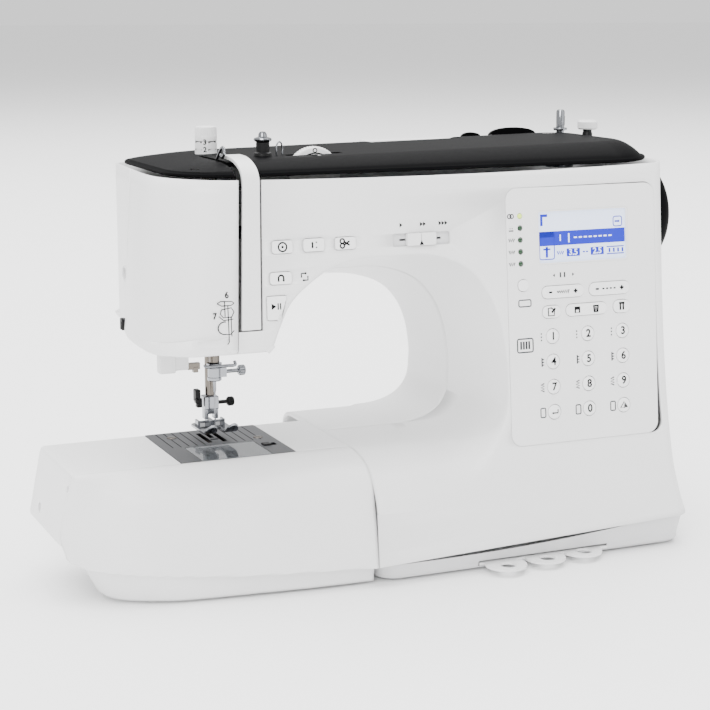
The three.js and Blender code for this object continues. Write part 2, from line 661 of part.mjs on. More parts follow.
// Carrying handle folded flat in its pocket.
const handleGrip = box(HANDLE.left, HANDLE.right, HANDLE.y + 12, HANDLE.y + 22, 239.2, 246.6);
const handleArms = [HANDLE.left, HANDLE.right - 8].map((x) =>
  box(x, x + 8, HANDLE.y, HANDLE.y + 14, 239.2, 243.6),
);
const handlePins = [HANDLE.left, HANDLE.right - 8].map((x) =>
  bar("x", [HANDLE.y, HANDLE.z], x, x + 8, 2.4, 12),
);
piece("carry_handle", joined(handleGrip, ...handleArms, ...handlePins), "white");

// Take-up lever: a thin arm with a hooked eye, on a pivot inside the head.
const TAKE_UP = { y: 8, z: 205 };
const leverArm = shapeOf([
  [TAKE_UP.y - 5, TAKE_UP.z], [TAKE_UP.y + 4, TAKE_UP.z + 4], [-14, 240], [-20, 251.5],
  [-25, 253.4], [-29, 250.4], [-28, 246], [-22, 246.4], [-20, 240],
]);
piece(
  "take_up_lever",
  joined(
    prism("x", leverArm, SLOT_X - 0.7, SLOT_X + 0.7),
    bar("x", [TAKE_UP.y, TAKE_UP.z], SLOT_X - 0.7, SLOT_X + 5, 4, 12),
  ),
  "chrome",
);

// ---- Drive inside the covers ----------------------------------------------------------

const beltPlane = { from: 150.7, to: 155.3 };
const DRIVE_R = 16;
const MOTOR_PULLEY_R = 6;
const TIMING_R = 11.7;

const wheelProfile = [
  [0, -3.5], [20, -3.5], [27, -1], [WHEEL_R, 6], [WHEEL_R, 14], [WHEEL_R - 1.5, 20],
  [WHEEL_R - 5.5, 23.2], [16, 24.25], [0, 24.25],
];
const handwheel = new THREE.LatheGeometry(wheelProfile.map(([r, h]) => new THREE.Vector2(r, h)), 32);
handwheel.rotateZ(-Math.PI / 2).translate(HALF_WIDTH - 24.25, SHAFT.y, SHAFT.z);
piece("handwheel", handwheel, "black");

piece(
  "main_shaft",
  joined(
    bar("x", [SHAFT.y, SHAFT.z], -88, HALF_WIDTH - 24.25 - 3.8, SHAFT.r, 14),
    bar("x", [SHAFT.y, SHAFT.z], -91.8, -87.6, 13, 20),
    bar("x", [SHAFT.y, SHAFT.z], 149, 157, DRIVE_R - 0.3, 20),
    bar("x", [SHAFT.y, SHAFT.z], 131, 139, TIMING_R, 20),
  ),
  "steel",
);
piece(
  "lower_shaft",
  joined(
    bar("x", [LOWER.y, LOWER.z], -116, 142, LOWER.r, 12),
    bar("x", [LOWER.y, LOWER.z], -104, -96, 5, 16),
    bar("x", [LOWER.y, LOWER.z], 131, 139, TIMING_R, 20),
  ),
  "steel",
);

// A belt round two pulleys whose axes lie along X: the outline of one thickness.
function beltLoop(a, ra, b, rb, thickness) {
  const along = Math.atan2(b.z - a.z, b.y - a.y);
  const distance = Math.hypot(b.y - a.y, b.z - a.z);
  const lean = Math.acos((ra - rb) / distance);
  const loop = (grow, kind) => {
    const path = new kind();
    path.absarc(a.y, a.z, ra + grow, along + lean, along - lean + 2 * Math.PI);
    path.absarc(b.y, b.z, rb + grow, along - lean, along + lean);
    return path;
  };
  const shape = loop(thickness, THREE.Shape);
  shape.holes.push(loop(0, THREE.Path));
  return shape;
}

const driveLoop = beltLoop(SHAFT, DRIVE_R, MOTOR, MOTOR_PULLEY_R, 1.5);
piece("drive_belt", prism("x", driveLoop, beltPlane.from, beltPlane.to, 7), "rubber");
piece(
  "motor_pulley",
  joined(
    bar("x", [MOTOR.y, MOTOR.z], beltPlane.from, beltPlane.to + 1.7, MOTOR_PULLEY_R - 0.3, 16),
    bar("x", [MOTOR.y, MOTOR.z], 148.4, beltPlane.from, 2.5, 10),
  ),
  "steel",
);
piece("drive_motor", bar("x", [MOTOR.y, MOTOR.z], 98, 148, MOTOR.r, 20), "steel");

// Cast frame: head plate with its lugs, arm beam, column plate and bed beam.
const headPlate = box(-87, -83, 12, 35, 161, 232);
const lowerLug = box(-103, -83, 14, 34, 161, 167);
const upperLug = box(-103, -83, 14, 34, 212, 216.5);
const armBeam = box(-84, 124, 8, 32, 216, 224);
const columnPlate = box(118, 124, -4, 32, 30, 224);
const bedBeam = box(-150, 124, 12, 27, 36.2, 39);
const motorRoom = box(96, 130, 24.4, 70, 20, 72);
const frameBores = [
  bar("x", [SHAFT.y, SHAFT.z], -88, 130, SHAFT.r + 0.4, 14),
  bar("x", [LOWER.y, LOWER.z], 100, 130, LOWER.r + 0.4, 12),
  bar("z", [NEEDLE.x, NEEDLE.y], 140, 240, NB_R + 0.4, 14),
  bar("z", [NEEDLE.x, PRESSER_Y], 140, 240, PB_R + 0.4, 14),
];
piece(
  "chassis_frame",
  cutBy(
    joined(headPlate, lowerLug, upperLug, armBeam, columnPlate, bedBeam),
    motorRoom,
    ...frameBores,
  ),
  "casting",
);

// ---- Power socket and switch on the right side ----------------------------------------

const socketPlate = box(
  174, 179, INLET.front + 0.4, INLET.rear - 0.4, INLET.low + 0.4, INLET.high - 0.4,
);
const socketBody = box(160, 175, 33, 48.5, 38, 58);
const socketWell = box(163, 190, 35.5, 46.5, 42, 54);
const switchWell = box(163, 190, 23.6, 32, 40, 56);
piece("power_socket", cutBy(joined(socketPlate, socketBody), socketWell, switchWell), "black");
const rocker = box(171, 180.4, 24, 31.6, 41, 55);
piece("power_switch", rocker, "black");

export default machine;
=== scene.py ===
"""The looks of a computerised free-arm sewing machine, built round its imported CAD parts.

Lengths are in millimetres until a piece is published, which turns them to metres. X runs from the
free arm's end to the handwheel, Y from the user to the rear and Z up from the table.
"""

import json
import logging
import math
from dataclasses import dataclass
from enum import Enum
from typing import Callable, Iterable, Sequence

import bmesh
import bpy
import numpy as np
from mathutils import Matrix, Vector
from mathutils.geometry import tessellate_polygon


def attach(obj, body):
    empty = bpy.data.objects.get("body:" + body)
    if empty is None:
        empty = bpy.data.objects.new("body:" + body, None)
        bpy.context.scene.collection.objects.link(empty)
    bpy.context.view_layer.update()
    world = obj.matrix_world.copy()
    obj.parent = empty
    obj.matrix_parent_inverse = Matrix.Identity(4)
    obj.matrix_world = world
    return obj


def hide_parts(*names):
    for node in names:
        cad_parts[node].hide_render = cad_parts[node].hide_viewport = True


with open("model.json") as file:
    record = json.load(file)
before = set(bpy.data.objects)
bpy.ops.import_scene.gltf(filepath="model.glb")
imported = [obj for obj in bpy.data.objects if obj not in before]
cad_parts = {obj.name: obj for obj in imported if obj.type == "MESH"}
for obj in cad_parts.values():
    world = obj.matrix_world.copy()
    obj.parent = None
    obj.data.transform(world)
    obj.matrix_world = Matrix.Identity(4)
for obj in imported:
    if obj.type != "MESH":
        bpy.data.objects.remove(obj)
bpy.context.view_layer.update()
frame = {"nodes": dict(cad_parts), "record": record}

log = logging.getLogger("sewing_machine")
MM = 0.001
Mesh = tuple[np.ndarray, list]
Point2 = tuple[float, float]


# ---- Colour and finishes ----------------------------------------------------------------


def linear(colour: str) -> tuple[float, float, float, float]:
    """Turns an sRGB hex colour to linear RGBA.

    Args:
        colour: six hex digits, such as "ececec".

    Returns:
        Linear red, green, blue and an alpha of 1.
    """
    parts = [int(colour[i : i + 2], 16) / 255 for i in (0, 2, 4)]
    out = [c / 12.92 if c <= 0.04045 else ((c + 0.055) / 1.055) ** 2.4 for c in parts]
    return out[0], out[1], out[2], 1.0


def add_node(tree: bpy.types.NodeTree, kind: str, inputs: dict, **settings) -> bpy.types.Node:
    """Adds a node, sets its properties and fills or links its inputs.

    Args:
        tree: the material's node tree.
        kind: the node's type name.
        inputs: socket name or number to a value, or to the output socket that feeds it.
        settings: properties of the node itself.

    Returns:
        The new node.
    """
    node = tree.nodes.new(kind)
    for name, value in settings.items():
        setattr(node, name, value)
    for name, value in inputs.items():
        if isinstance(value, bpy.types.NodeSocket):
            tree.links.new(value, node.inputs[name])
        else:
            node.inputs[name].default_value = value
    return node


DRIFT_SCALE = 18.0  # per metre: the colour's slow drift over a piece
RELIEF_M = 0.0001  # height of the finest relief


class Grain(Enum):
    """How a surface was made, which sets its relief."""

    MOULDED = "moulded in a spark-eroded tool"
    BRUSHED = "brushed in one direction"
    POLISHED = "polished or plated"
    CAST = "cast in a mould and left rough"


@dataclass(frozen=True)
class Finish:
    """One real finish: its colours, gloss and relief.

    The colour drifts to the shade over a hand's width, and the relief is noise at scale_mm.
    """

    name: str
    colour: str
    shade: str
    roughness: float
    metallic: float = 0.0
    grain: Grain = Grain.MOULDED
    scale_mm: float = 1.2
    bump: float = 0.04
    transmission: float = 0.0
    glow: float = 0.0
    specular: float = 0.5

    def material(self) -> bpy.types.Material:
        """The finish as a node material, made once."""
        made = bpy.data.materials.get(self.name)
        if made:
            return made
        made = bpy.data.materials.new(self.name)
        made.use_nodes = True
        tree = made.node_tree
        tree.nodes.clear()
        place = add_node(tree, "ShaderNodeTexCoord", {}).outputs["Object"]
        # Brushing stretches the grain along X, so the lines lie side by side in Y.
        stretch = (0.04, 1.0, 1.0) if self.grain is Grain.BRUSHED else (1.0, 1.0, 1.0)
        mapped = add_node(
            tree, "ShaderNodeMapping", {"Vector": place, "Scale": stretch}
        ).outputs["Vector"]
        fine = add_node(
            tree,
            "ShaderNodeTexNoise",
            {"Vector": mapped, "Scale": 1 / (self.scale_mm * MM), "Detail": 3.0},
        ).outputs["Fac"]
        broad = add_node(
            tree, "ShaderNodeTexNoise", {"Vector": place, "Scale": DRIFT_SCALE, "Detail": 2.0}
        ).outputs["Fac"]
        mix = add_node(
            tree,
            "ShaderNodeMix",
            {"Factor": broad, 6: linear(self.colour), 7: linear(self.shade)},
            data_type="RGBA",
        ).outputs[2]
        rough = add_node(
            tree,
            "ShaderNodeMapRange",
            {"Value": fine, "To Min": self.roughness * 0.9, "To Max": self.roughness * 1.12},
        ).outputs["Result"]
        relief = add_node(
            tree,
            "ShaderNodeBump",
            {"Height": fine, "Strength": self.bump, "Distance": RELIEF_M},
        ).outputs["Normal"]
        shader = add_node(
            tree,
            "ShaderNodeBsdfPrincipled",
            {
                "Base Color": mix,
                "Roughness": rough,
                "Metallic": self.metallic,
                "Normal": relief,
                "Transmission Weight": self.transmission,
                "Specular IOR Level": self.specular,
            },
        )
        if self.glow:
            shader.inputs["Emission Color"].default_value = linear(self.colour)
            shader.inputs["Emission Strength"].default_value = self.glow
        add_node(tree, "ShaderNodeOutputMaterial", {"Surface": shader.outputs["BSDF"]})
        return made


# Injection-moulded ABS: an even satin skin whose fine tool texture softens the highlights.
WHITE_ABS = Finish("satin_white_abs", "e3e3e3", "dddddd", 0.36, scale_mm=0.9, bump=0.05)
# A slightly greyer white ABS, for the base and the screw cup; in the slider's well its greyness paints
# in the shade inside the pocket.
BASE_ABS = Finish("base_white_abs", "cfcfd0", "c9c9ca", 0.45, scale_mm=0.9, bump=0.05)
# Key caps of PBT: matter than the covers.
KEY_PBT = Finish("matt_white_pbt", "ececec", "e7e7e7", 0.5, scale_mm=0.7, bump=0.04)
# The lid is black ABS moulded with a soft satin, which shows only a faint broad sheen.
BLACK_ABS = Finish(
    "satin_black_abs", "060607", "09090a", 0.5, scale_mm=0.9, bump=0.04, specular=0.02
)
# Small black acetal mouldings are matter than the lid.
BLACK_POM = Finish(
    "black_acetal", "0c0c0d", "121213", 0.45, scale_mm=0.8, bump=0.06, specular=0.2
)
# Polished chrome plate: clear light reflections, and a colour darkened to paint in the dark
# reflections that the white studio does not give.
CHROME = Finish(
    "chrome_plate", "8e9094", "84868a", 0.14, metallic=1.0, grain=Grain.POLISHED, bump=0.01
)
# Nickel plate on the needle parts is warmer and duller than chrome, and its colour is darkened further
# to paint in dark reflections.
NICKEL = Finish(
    "nickel_plate", "6f6962", "625c56", 0.24, metallic=1.0, grain=Grain.POLISHED, bump=0.02
)
# Brushed stainless plate: fine lines along X, drawn at 0.5 mm so that they show.
BRUSHED_PLATE = Finish(
    "brushed_stainless",
    "505155",
    "46474a",
    0.34,
    metallic=1.0,
    grain=Grain.BRUSHED,
    scale_mm=0.5,
    bump=0.25,
)
# Cast aluminium: dull and pitted.
CAST_ALUMINIUM = Finish(
    "cast_aluminium", "9c9ea1", "8a8c8f", 0.55, metallic=1.0, grain=Grain.CAST, bump=0.5
)
# Chloroprene belt rubber: dull black.
RUBBER = Finish("belt_rubber", "161616", "1d1d1d", 0.85, bump=0.3)
# Clear acrylic: tinted a little by its thickness.
ACRYLIC = Finish("clear_acrylic", "c4c8cc", "bcc0c5", 0.06, bump=0.0, transmission=0.9)
# Pad-printed ink: matt charcoal, and a greyer one where the marks are small.
INK = Finish("charcoal_ink", "101012", "0e0e10", 0.6, bump=0.0, specular=0.1)
FINE_INK = Finish("grey_ink", "303034", "2c2c30", 0.6, bump=0.0, specular=0.1)
# Liquid-crystal display with its backlight on.
LCD_FIELD = Finish("lcd_backlit_field", "dbe5fb", "cfdcf8", 0.3, bump=0.0, glow=0.35)
LCD_DARK = Finish("lcd_dark_segment", "2a31b4", "252cab", 0.3, bump=0.0, specular=0.1)
# Light-emitting diodes in clear epoxy, one lit.
LED_LIT = Finish("led_lit_green", "c6e05a", "bcd94c", 0.2, bump=0.0, glow=0.8)
LED_OFF = Finish("led_dark_green", "123a1e", "0f3219", 0.15, bump=0.0)


# ---- Shapes -----------------------------------------------------------------------------


def grid(points: np.ndarray, wrap_rows: bool = False, wrap_columns: bool = False) -> Mesh:
    """Quads over a table of points.

    Args:
        points: rows by columns by 3.
        wrap_rows: whether the last row joins the first.
        wrap_columns: whether the last column joins the first.

    Returns:
        The points and faces.
    """
    rows, columns = points.shape[:2]
    number = np.arange(rows * columns).reshape(rows, columns)
    if wrap_rows:
        number = np.vstack([number, number[:1]])
    if wrap_columns:
        number = np.hstack([number, number[:, :1]])
    quads = np.stack(
        [number[:-1, :-1], number[:-1, 1:], number[1:, 1:], number[1:, :-1]], axis=-1
    )
    return points.reshape(-1, 3), quads.reshape(-1, 4).tolist()


def merged(meshes: Iterable[Mesh]) -> Mesh:
    """Joins several meshes.

    Args:
        meshes: the meshes, each as points and faces.

    Returns:
        One mesh with all their points and faces.
    """
    points: list[np.ndarray] = []
    faces: list = []
    start = 0
    for some_points, some_faces in meshes:
        points.append(np.asarray(some_points, float))
        faces += [[start + i for i in face] for face in some_faces]
        start += len(some_points)
    return np.vstack(points), faces


def fill(loops: Sequence[np.ndarray], place: Callable[[np.ndarray], np.ndarray]) -> Mesh:
    """A flat polygon with holes, as triangles.

    Args:
        loops: the outline, then each hole, as n by 2 arrays.
        place: carries n by 2 points into space.

    Returns:
        The points and faces.
    """
    triangles = tessellate_polygon([[Vector((a, b, 0)) for a, b in loop] for loop in loops])
    flat = np.vstack(loops)
    corners = flat[np.array(triangles)]
    first = corners[:, 1] - corners[:, 0]
    second = corners[:, 2] - corners[:, 0]
    area = first[:, 0] * second[:, 1] - first[:, 1] * second[:, 0]
    faces = [
        list(t) if a > 0 else list(t)[::-1] for t, a in zip(triangles, area) if abs(a) > 1e-9
    ]
    return place(flat), faces


def plate(loops: Sequence[np.ndarray], near: float, far: float) -> Mesh:
    """A flat plate with holes, in the X-Z plane.

    Args:
        loops: the outline, then each hole.
        near: the front's depth in Y.
        far: the back's depth in Y.

    Returns:
        The closed plate.
    """
    front, faces = fill(loops, lambda p: np.c_[p[:, 0], np.full(len(p), near), p[:, 1]])
    back = front + np.array([0, far - near, 0])
    count = len(front)
    faces = faces + [[count + i for i in face][::-1] for face in faces]
    start = 0
    for loop in loops:
        ring = np.arange(len(loop)) + start
        after = np.roll(ring, -1)
        faces += np.c_[ring, after, after + count, ring + count].tolist()
        start += len(loop)
    return np.vstack([front, back]), faces


def lathe(profile: Sequence[Point2], centre: Sequence[float], axis: str, sides: int = 48) -> Mesh:
    """A profile of (radius, height) turned about an axis through centre.

    A point is centre + height along the axis + radius times (cos, sin) of its angle.

    Args:
        profile: radius and height of each point.
        centre: a point on the axis, from which heights count.
        axis: "x", "y" or "z".
        sides: points round the turn.

    Returns:
        The turned surface.
    """
    shape = np.array(profile, float)
    angle = np.linspace(0, 2 * math.pi, sides, endpoint=False)
    along = {"x": 0, "y": 1, "z": 2}[axis]
    first, second = (along + 1) % 3, (along + 2) % 3
    points = np.zeros((len(shape), sides, 3))
    points[..., along] = shape[:, 1:2]
    points[..., first] = shape[:, :1] * np.cos(angle)
    points[..., second] = shape[:, :1] * np.sin(angle)
    return grid(points + np.array(centre, float), wrap_columns=True)


def rounded_box(x: Point2, y: Point2, z: Point2) -> Mesh:
    """A block, to be given round edges by a bevel.

    Args:
        x: its left and right.
        y: its front and rear.
        z: its foot and top.

    Returns:
        The block.
    """
    corners = np.array([[a, b, c] for c in z for b in y for a in x], float)
    faces = [[0, 2, 3, 1], [4, 5, 7, 6], [0, 1, 5, 4], [2, 6, 7, 3], [0, 4, 6, 2], [1, 3, 7, 5]]
    return corners, faces


def rounded_rectangle(
    x0: float, x1: float, z0: float, z1: float, r: float, n: int = 6
) -> np.ndarray:
    """The outline of a rectangle with round corners, anticlockwise from the lower right.

    Args:
        x0: its left.
        x1: its right.
        z0: its foot.
        z1: its top.
        r: the corners' radius.
        n: points to a corner.

    Returns:
        The outline's points.
    """
    turn = np.linspace(0, math.pi / 2, n)
    corners = [(x1 - r, z0 + r, -1), (x1 - r, z1 - r, 0), (x0 + r, z1 - r, 1), (x0 + r, z0 + r, 2)]
    arcs = [
        np.c_[cx + r * np.cos(turn + q * math.pi / 2), cz + r * np.sin(turn + q * math.pi / 2)]
        for cx, cz, q in corners
    ]
    return np.vstack(arcs)


def circle(x: float, z: float, r: float, sides: int = 32) -> np.ndarray:
    """A circle's outline."""
    turn = np.linspace(0, 2 * math.pi, sides, endpoint=False)
    return np.c_[x + r * np.cos(turn), z + r * np.sin(turn)]


def spline(points: Sequence[Sequence[float]], count: int) -> np.ndarray:
    """Points evenly along a smooth curve through the given ones.

    Each stretch is a cubic whose slopes are those between its neighbours (Catmull-Rom).

    Args:
        points: the points that the curve goes through.
        count: how many points to give back.

    Returns:
        Points at even steps of length.
    """
    known = np.array(points, float)
    ends = np.vstack([2 * known[0] - known[1], known, 2 * known[-1] - known[-2]])
    step = np.linspace(0, 1, 24, endpoint=False)[:, None]
    parts = []
    for a, b, c, d in zip(ends[:-3], ends[1:-2], ends[2:-1], ends[3:]):
        parts.append(
            0.5
            * (
                2 * b
                + (c - a) * step
                + (2 * a - 5 * b + 4 * c - d) * step**2
                + (3 * b - a - 3 * c + d) * step**3
            )
        )
    path = np.vstack(parts + [known[-1:]])
    length = np.r_[0, np.cumsum(np.linalg.norm(np.diff(path, axis=0), axis=1))]
    at = np.linspace(0, length[-1], count)
    return np.stack([np.interp(at, length, path[:, k]) for k in range(known.shape[1])], axis=1)


def smooth_step(value: np.ndarray) -> np.ndarray:
    """0 below 0, 1 above 1 and 3 t^2 - 2 t^3 between."""
    t = np.clip(value, 0, 1)
    return t * t * (3 - 2 * t)


def tube(path: np.ndarray, radius: float, sides: int = 12) -> Mesh:
    """A round wire along a path, closed at both ends.

    At each point a circle stands square to the path, on two axes that are square to it and to
    each other.

    Args:
        path: points along the wire.
        radius: the wire's radius.
        sides: points round the wire.

    Returns:
        The wire.
    """
    step = np.gradient(path, axis=0)
    step /= np.linalg.norm(step, axis=1)[:, None]
    helper = np.array([0.37, 0.21, 0.9])
    side = np.cross(step, helper)
    side /= np.linalg.norm(side, axis=1)[:, None]
    other = np.cross(step, side)
    turn = np.linspace(0, 2 * math.pi, sides, endpoint=False)
    cos, sin = np.cos(turn)[None, :, None], np.sin(turn)[None, :, None]
    ring = side[:, None] * cos + other[:, None] * sin
    points, faces = grid(path[:, None] + radius * ring, wrap_columns=True)
    last = len(points) - sides
    return points, faces + [list(range(sides))[::-1], list(range(last, last + sides))]


def carve(mesh: Mesh, cutters: Sequence[Mesh]) -> Mesh:
    """Cuts closed shapes out of a closed shape.

    Args:
        mesh: the shape to cut.
        cutters: the shapes taken away.

    Returns:
        What is left.
    """
    made = []
    for points, faces in [mesh, merged(cutters)]:
        data = bpy.data.meshes.new("carving")
        data.from_pydata(np.asarray(points).tolist(), [], faces)
        work = bmesh.new()
        work.from_mesh(data)
        bmesh.ops.remove_doubles(work, verts=work.verts, dist=0.002)
        bmesh.ops.recalc_face_normals(work, faces=work.faces)
        work.to_mesh(data)
        work.free()
        thing = bpy.data.objects.new("carving", data)
        bpy.context.scene.collection.objects.link(thing)
        made.append(thing)
    tool = made[0].modifiers.new("cut", "BOOLEAN")
    tool.object = made[1]
    tool.solver = "EXACT"
    tool.use_self = True
    seen = made[0].evaluated_get(bpy.context.evaluated_depsgraph_get())
    data = seen.to_mesh()
    points = np.zeros(len(data.vertices) * 3)
    data.vertices.foreach_get("co", points)
    faces = [list(p.vertices) for p in data.polygons]
    seen.to_mesh_clear()
    for thing in made:
        bpy.data.objects.remove(thing)
    return points.reshape(-1, 3), faces


INK_SPREAD = 1.9  # a printed line's width over its drawn width


def line(points: Sequence[Point2], width: float, closed: bool = False) -> list[np.ndarray]:
    """The outline of a drawn line: its points moved half a width to each side.

    A closed line, drawn anticlockwise, has its whole width outside its points.

    Args:
        points: the line's own points.
        width: the line's width.
        closed: whether its end joins its start.

    Returns:
        The outline and, for a closed line, its inner hole.
    """
    path = np.array(points, float)
    if closed:
        step = np.roll(path, -1, axis=0) - np.roll(path, 1, axis=0)
    else:
        step = np.gradient(path, axis=0)
    step /= np.linalg.norm(step, axis=1)[:, None]
    side = np.c_[-step[:, 1], step[:, 0]] * width * INK_SPREAD / 2
    if closed:
        return [path - 2 * side, path]
    return [np.vstack([path + side, (path - side)[::-1]])]


def figure(text: str, x: float, z: float, height: float) -> Mesh:
    """A number drawn in the plain built-in letter.

    Args:
        text: the number.
        x: its middle in X.
        z: its middle in Z.
        height: the height of its figures.

    Returns:
        The number, thin about depth 0.
    """
    curve = bpy.data.curves.new("figure", "FONT")
    curve.body = text
    curve.size = height * 1.4
    curve.extrude = 0.04
    curve.offset = height * 0.035
    curve.align_x = "CENTER"
    curve.align_y = "CENTER"
    thing = bpy.data.objects.new("figure", curve)
    bpy.context.scene.collection.objects.link(thing)
    seen = thing.evaluated_get(bpy.context.evaluated_depsgraph_get())
    data = seen.to_mesh()
    points = np.zeros(len(data.vertices) * 3)
    data.vertices.foreach_get("co", points)
    points = points.reshape(-1, 3)
    faces = [list(p.vertices) for p in data.polygons]
    seen.to_mesh_clear()
    bpy.data.objects.remove(thing)
    return np.c_[points[:, 0] + x, -points[:, 2], points[:, 1] + z], faces


def moved(mesh: Mesh, by: Sequence[float]) -> Mesh:
    """A mesh moved by a vector."""
    return mesh[0] + np.array(by, float), mesh[1]


def laid_flat(mesh: Mesh) -> Mesh:
    """Turns a shape drawn in the X-Z plane down to lie in X-Y, its depth upwards."""
    points, faces = mesh
    return np.c_[points[:, 0], points[:, 2], points[:, 1]], faces


# ---- Publishing -------------------------------------------------------------------------


def publish(
    name: str,
    mesh: Mesh,
    finish: Finish,
    body: str,
    replaces: Sequence[str] = (),
    wall: float = 0.0,
    bevel: float = 0.0,
    closed: bool = True,
    sharp: float = 32.0,
) -> bpy.types.Object:
    """Makes a piece in metres, gives it its finish and sets it on its body.

    Args:
        name: the piece's name.
        mesh: points in millimetres, and faces.
        finish: its finish.
        body: the moving body that it rides on.
        replaces: CAD nodes that it stands for.
        wall: thickness given inwards, in millimetres, for a skin.
        bevel: width of the round on its hard edges, in millimetres.
        closed: whether its normals can be worked out from its shape.
        sharp: edges over this angle, in degrees, stay hard.

    Returns:
        The new object.
    """
    points, faces = mesh
    data = bpy.data.meshes.new(name)
    data.from_pydata((np.asarray(points) * MM).tolist(), [], faces)
    work = bmesh.new()
    work.from_mesh(data)
    bmesh.ops.remove_doubles(work, verts=work.verts, dist=0.002 * MM)
    bmesh.ops.dissolve_degenerate(work, edges=work.edges, dist=0.001 * MM)
    if closed:
        bmesh.ops.recalc_face_normals(work, faces=work.faces)
    work.to_mesh(data)
    work.free()
    data.polygons.foreach_set("use_smooth", np.ones(len(data.polygons), bool))
    data.set_sharp_from_angle(angle=math.radians(sharp))
    data.materials.append(finish.material())
    piece = bpy.data.objects.new(name, data)
    bpy.context.scene.collection.objects.link(piece)
    if wall:
        thick = piece.modifiers.new("wall", "SOLIDIFY")
        thick.thickness = wall * MM
        thick.offset = -1
        thick.use_even_offset = False
    if bevel:
        edge = piece.modifiers.new("edges", "BEVEL")
        edge.width = bevel * MM
        edge.segments = 3
        edge.limit_method = "ANGLE"
        edge.angle_limit = math.radians(40)
        edge.harden_normals = True
    if replaces:
        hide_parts(*replaces)
    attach(piece, body)
    log.info("%s: %d faces on %s", name, len(data.polygons), body)
    return piece


def dress(node: str, finish: Finish) -> None:
    """Gives a CAD node that stays as it is a finish."""
    target = frame["nodes"][node]
    target.data.materials.clear()
    target.data.materials.append(finish.material())


# ---- The covers -------------------------------------------------------------------------


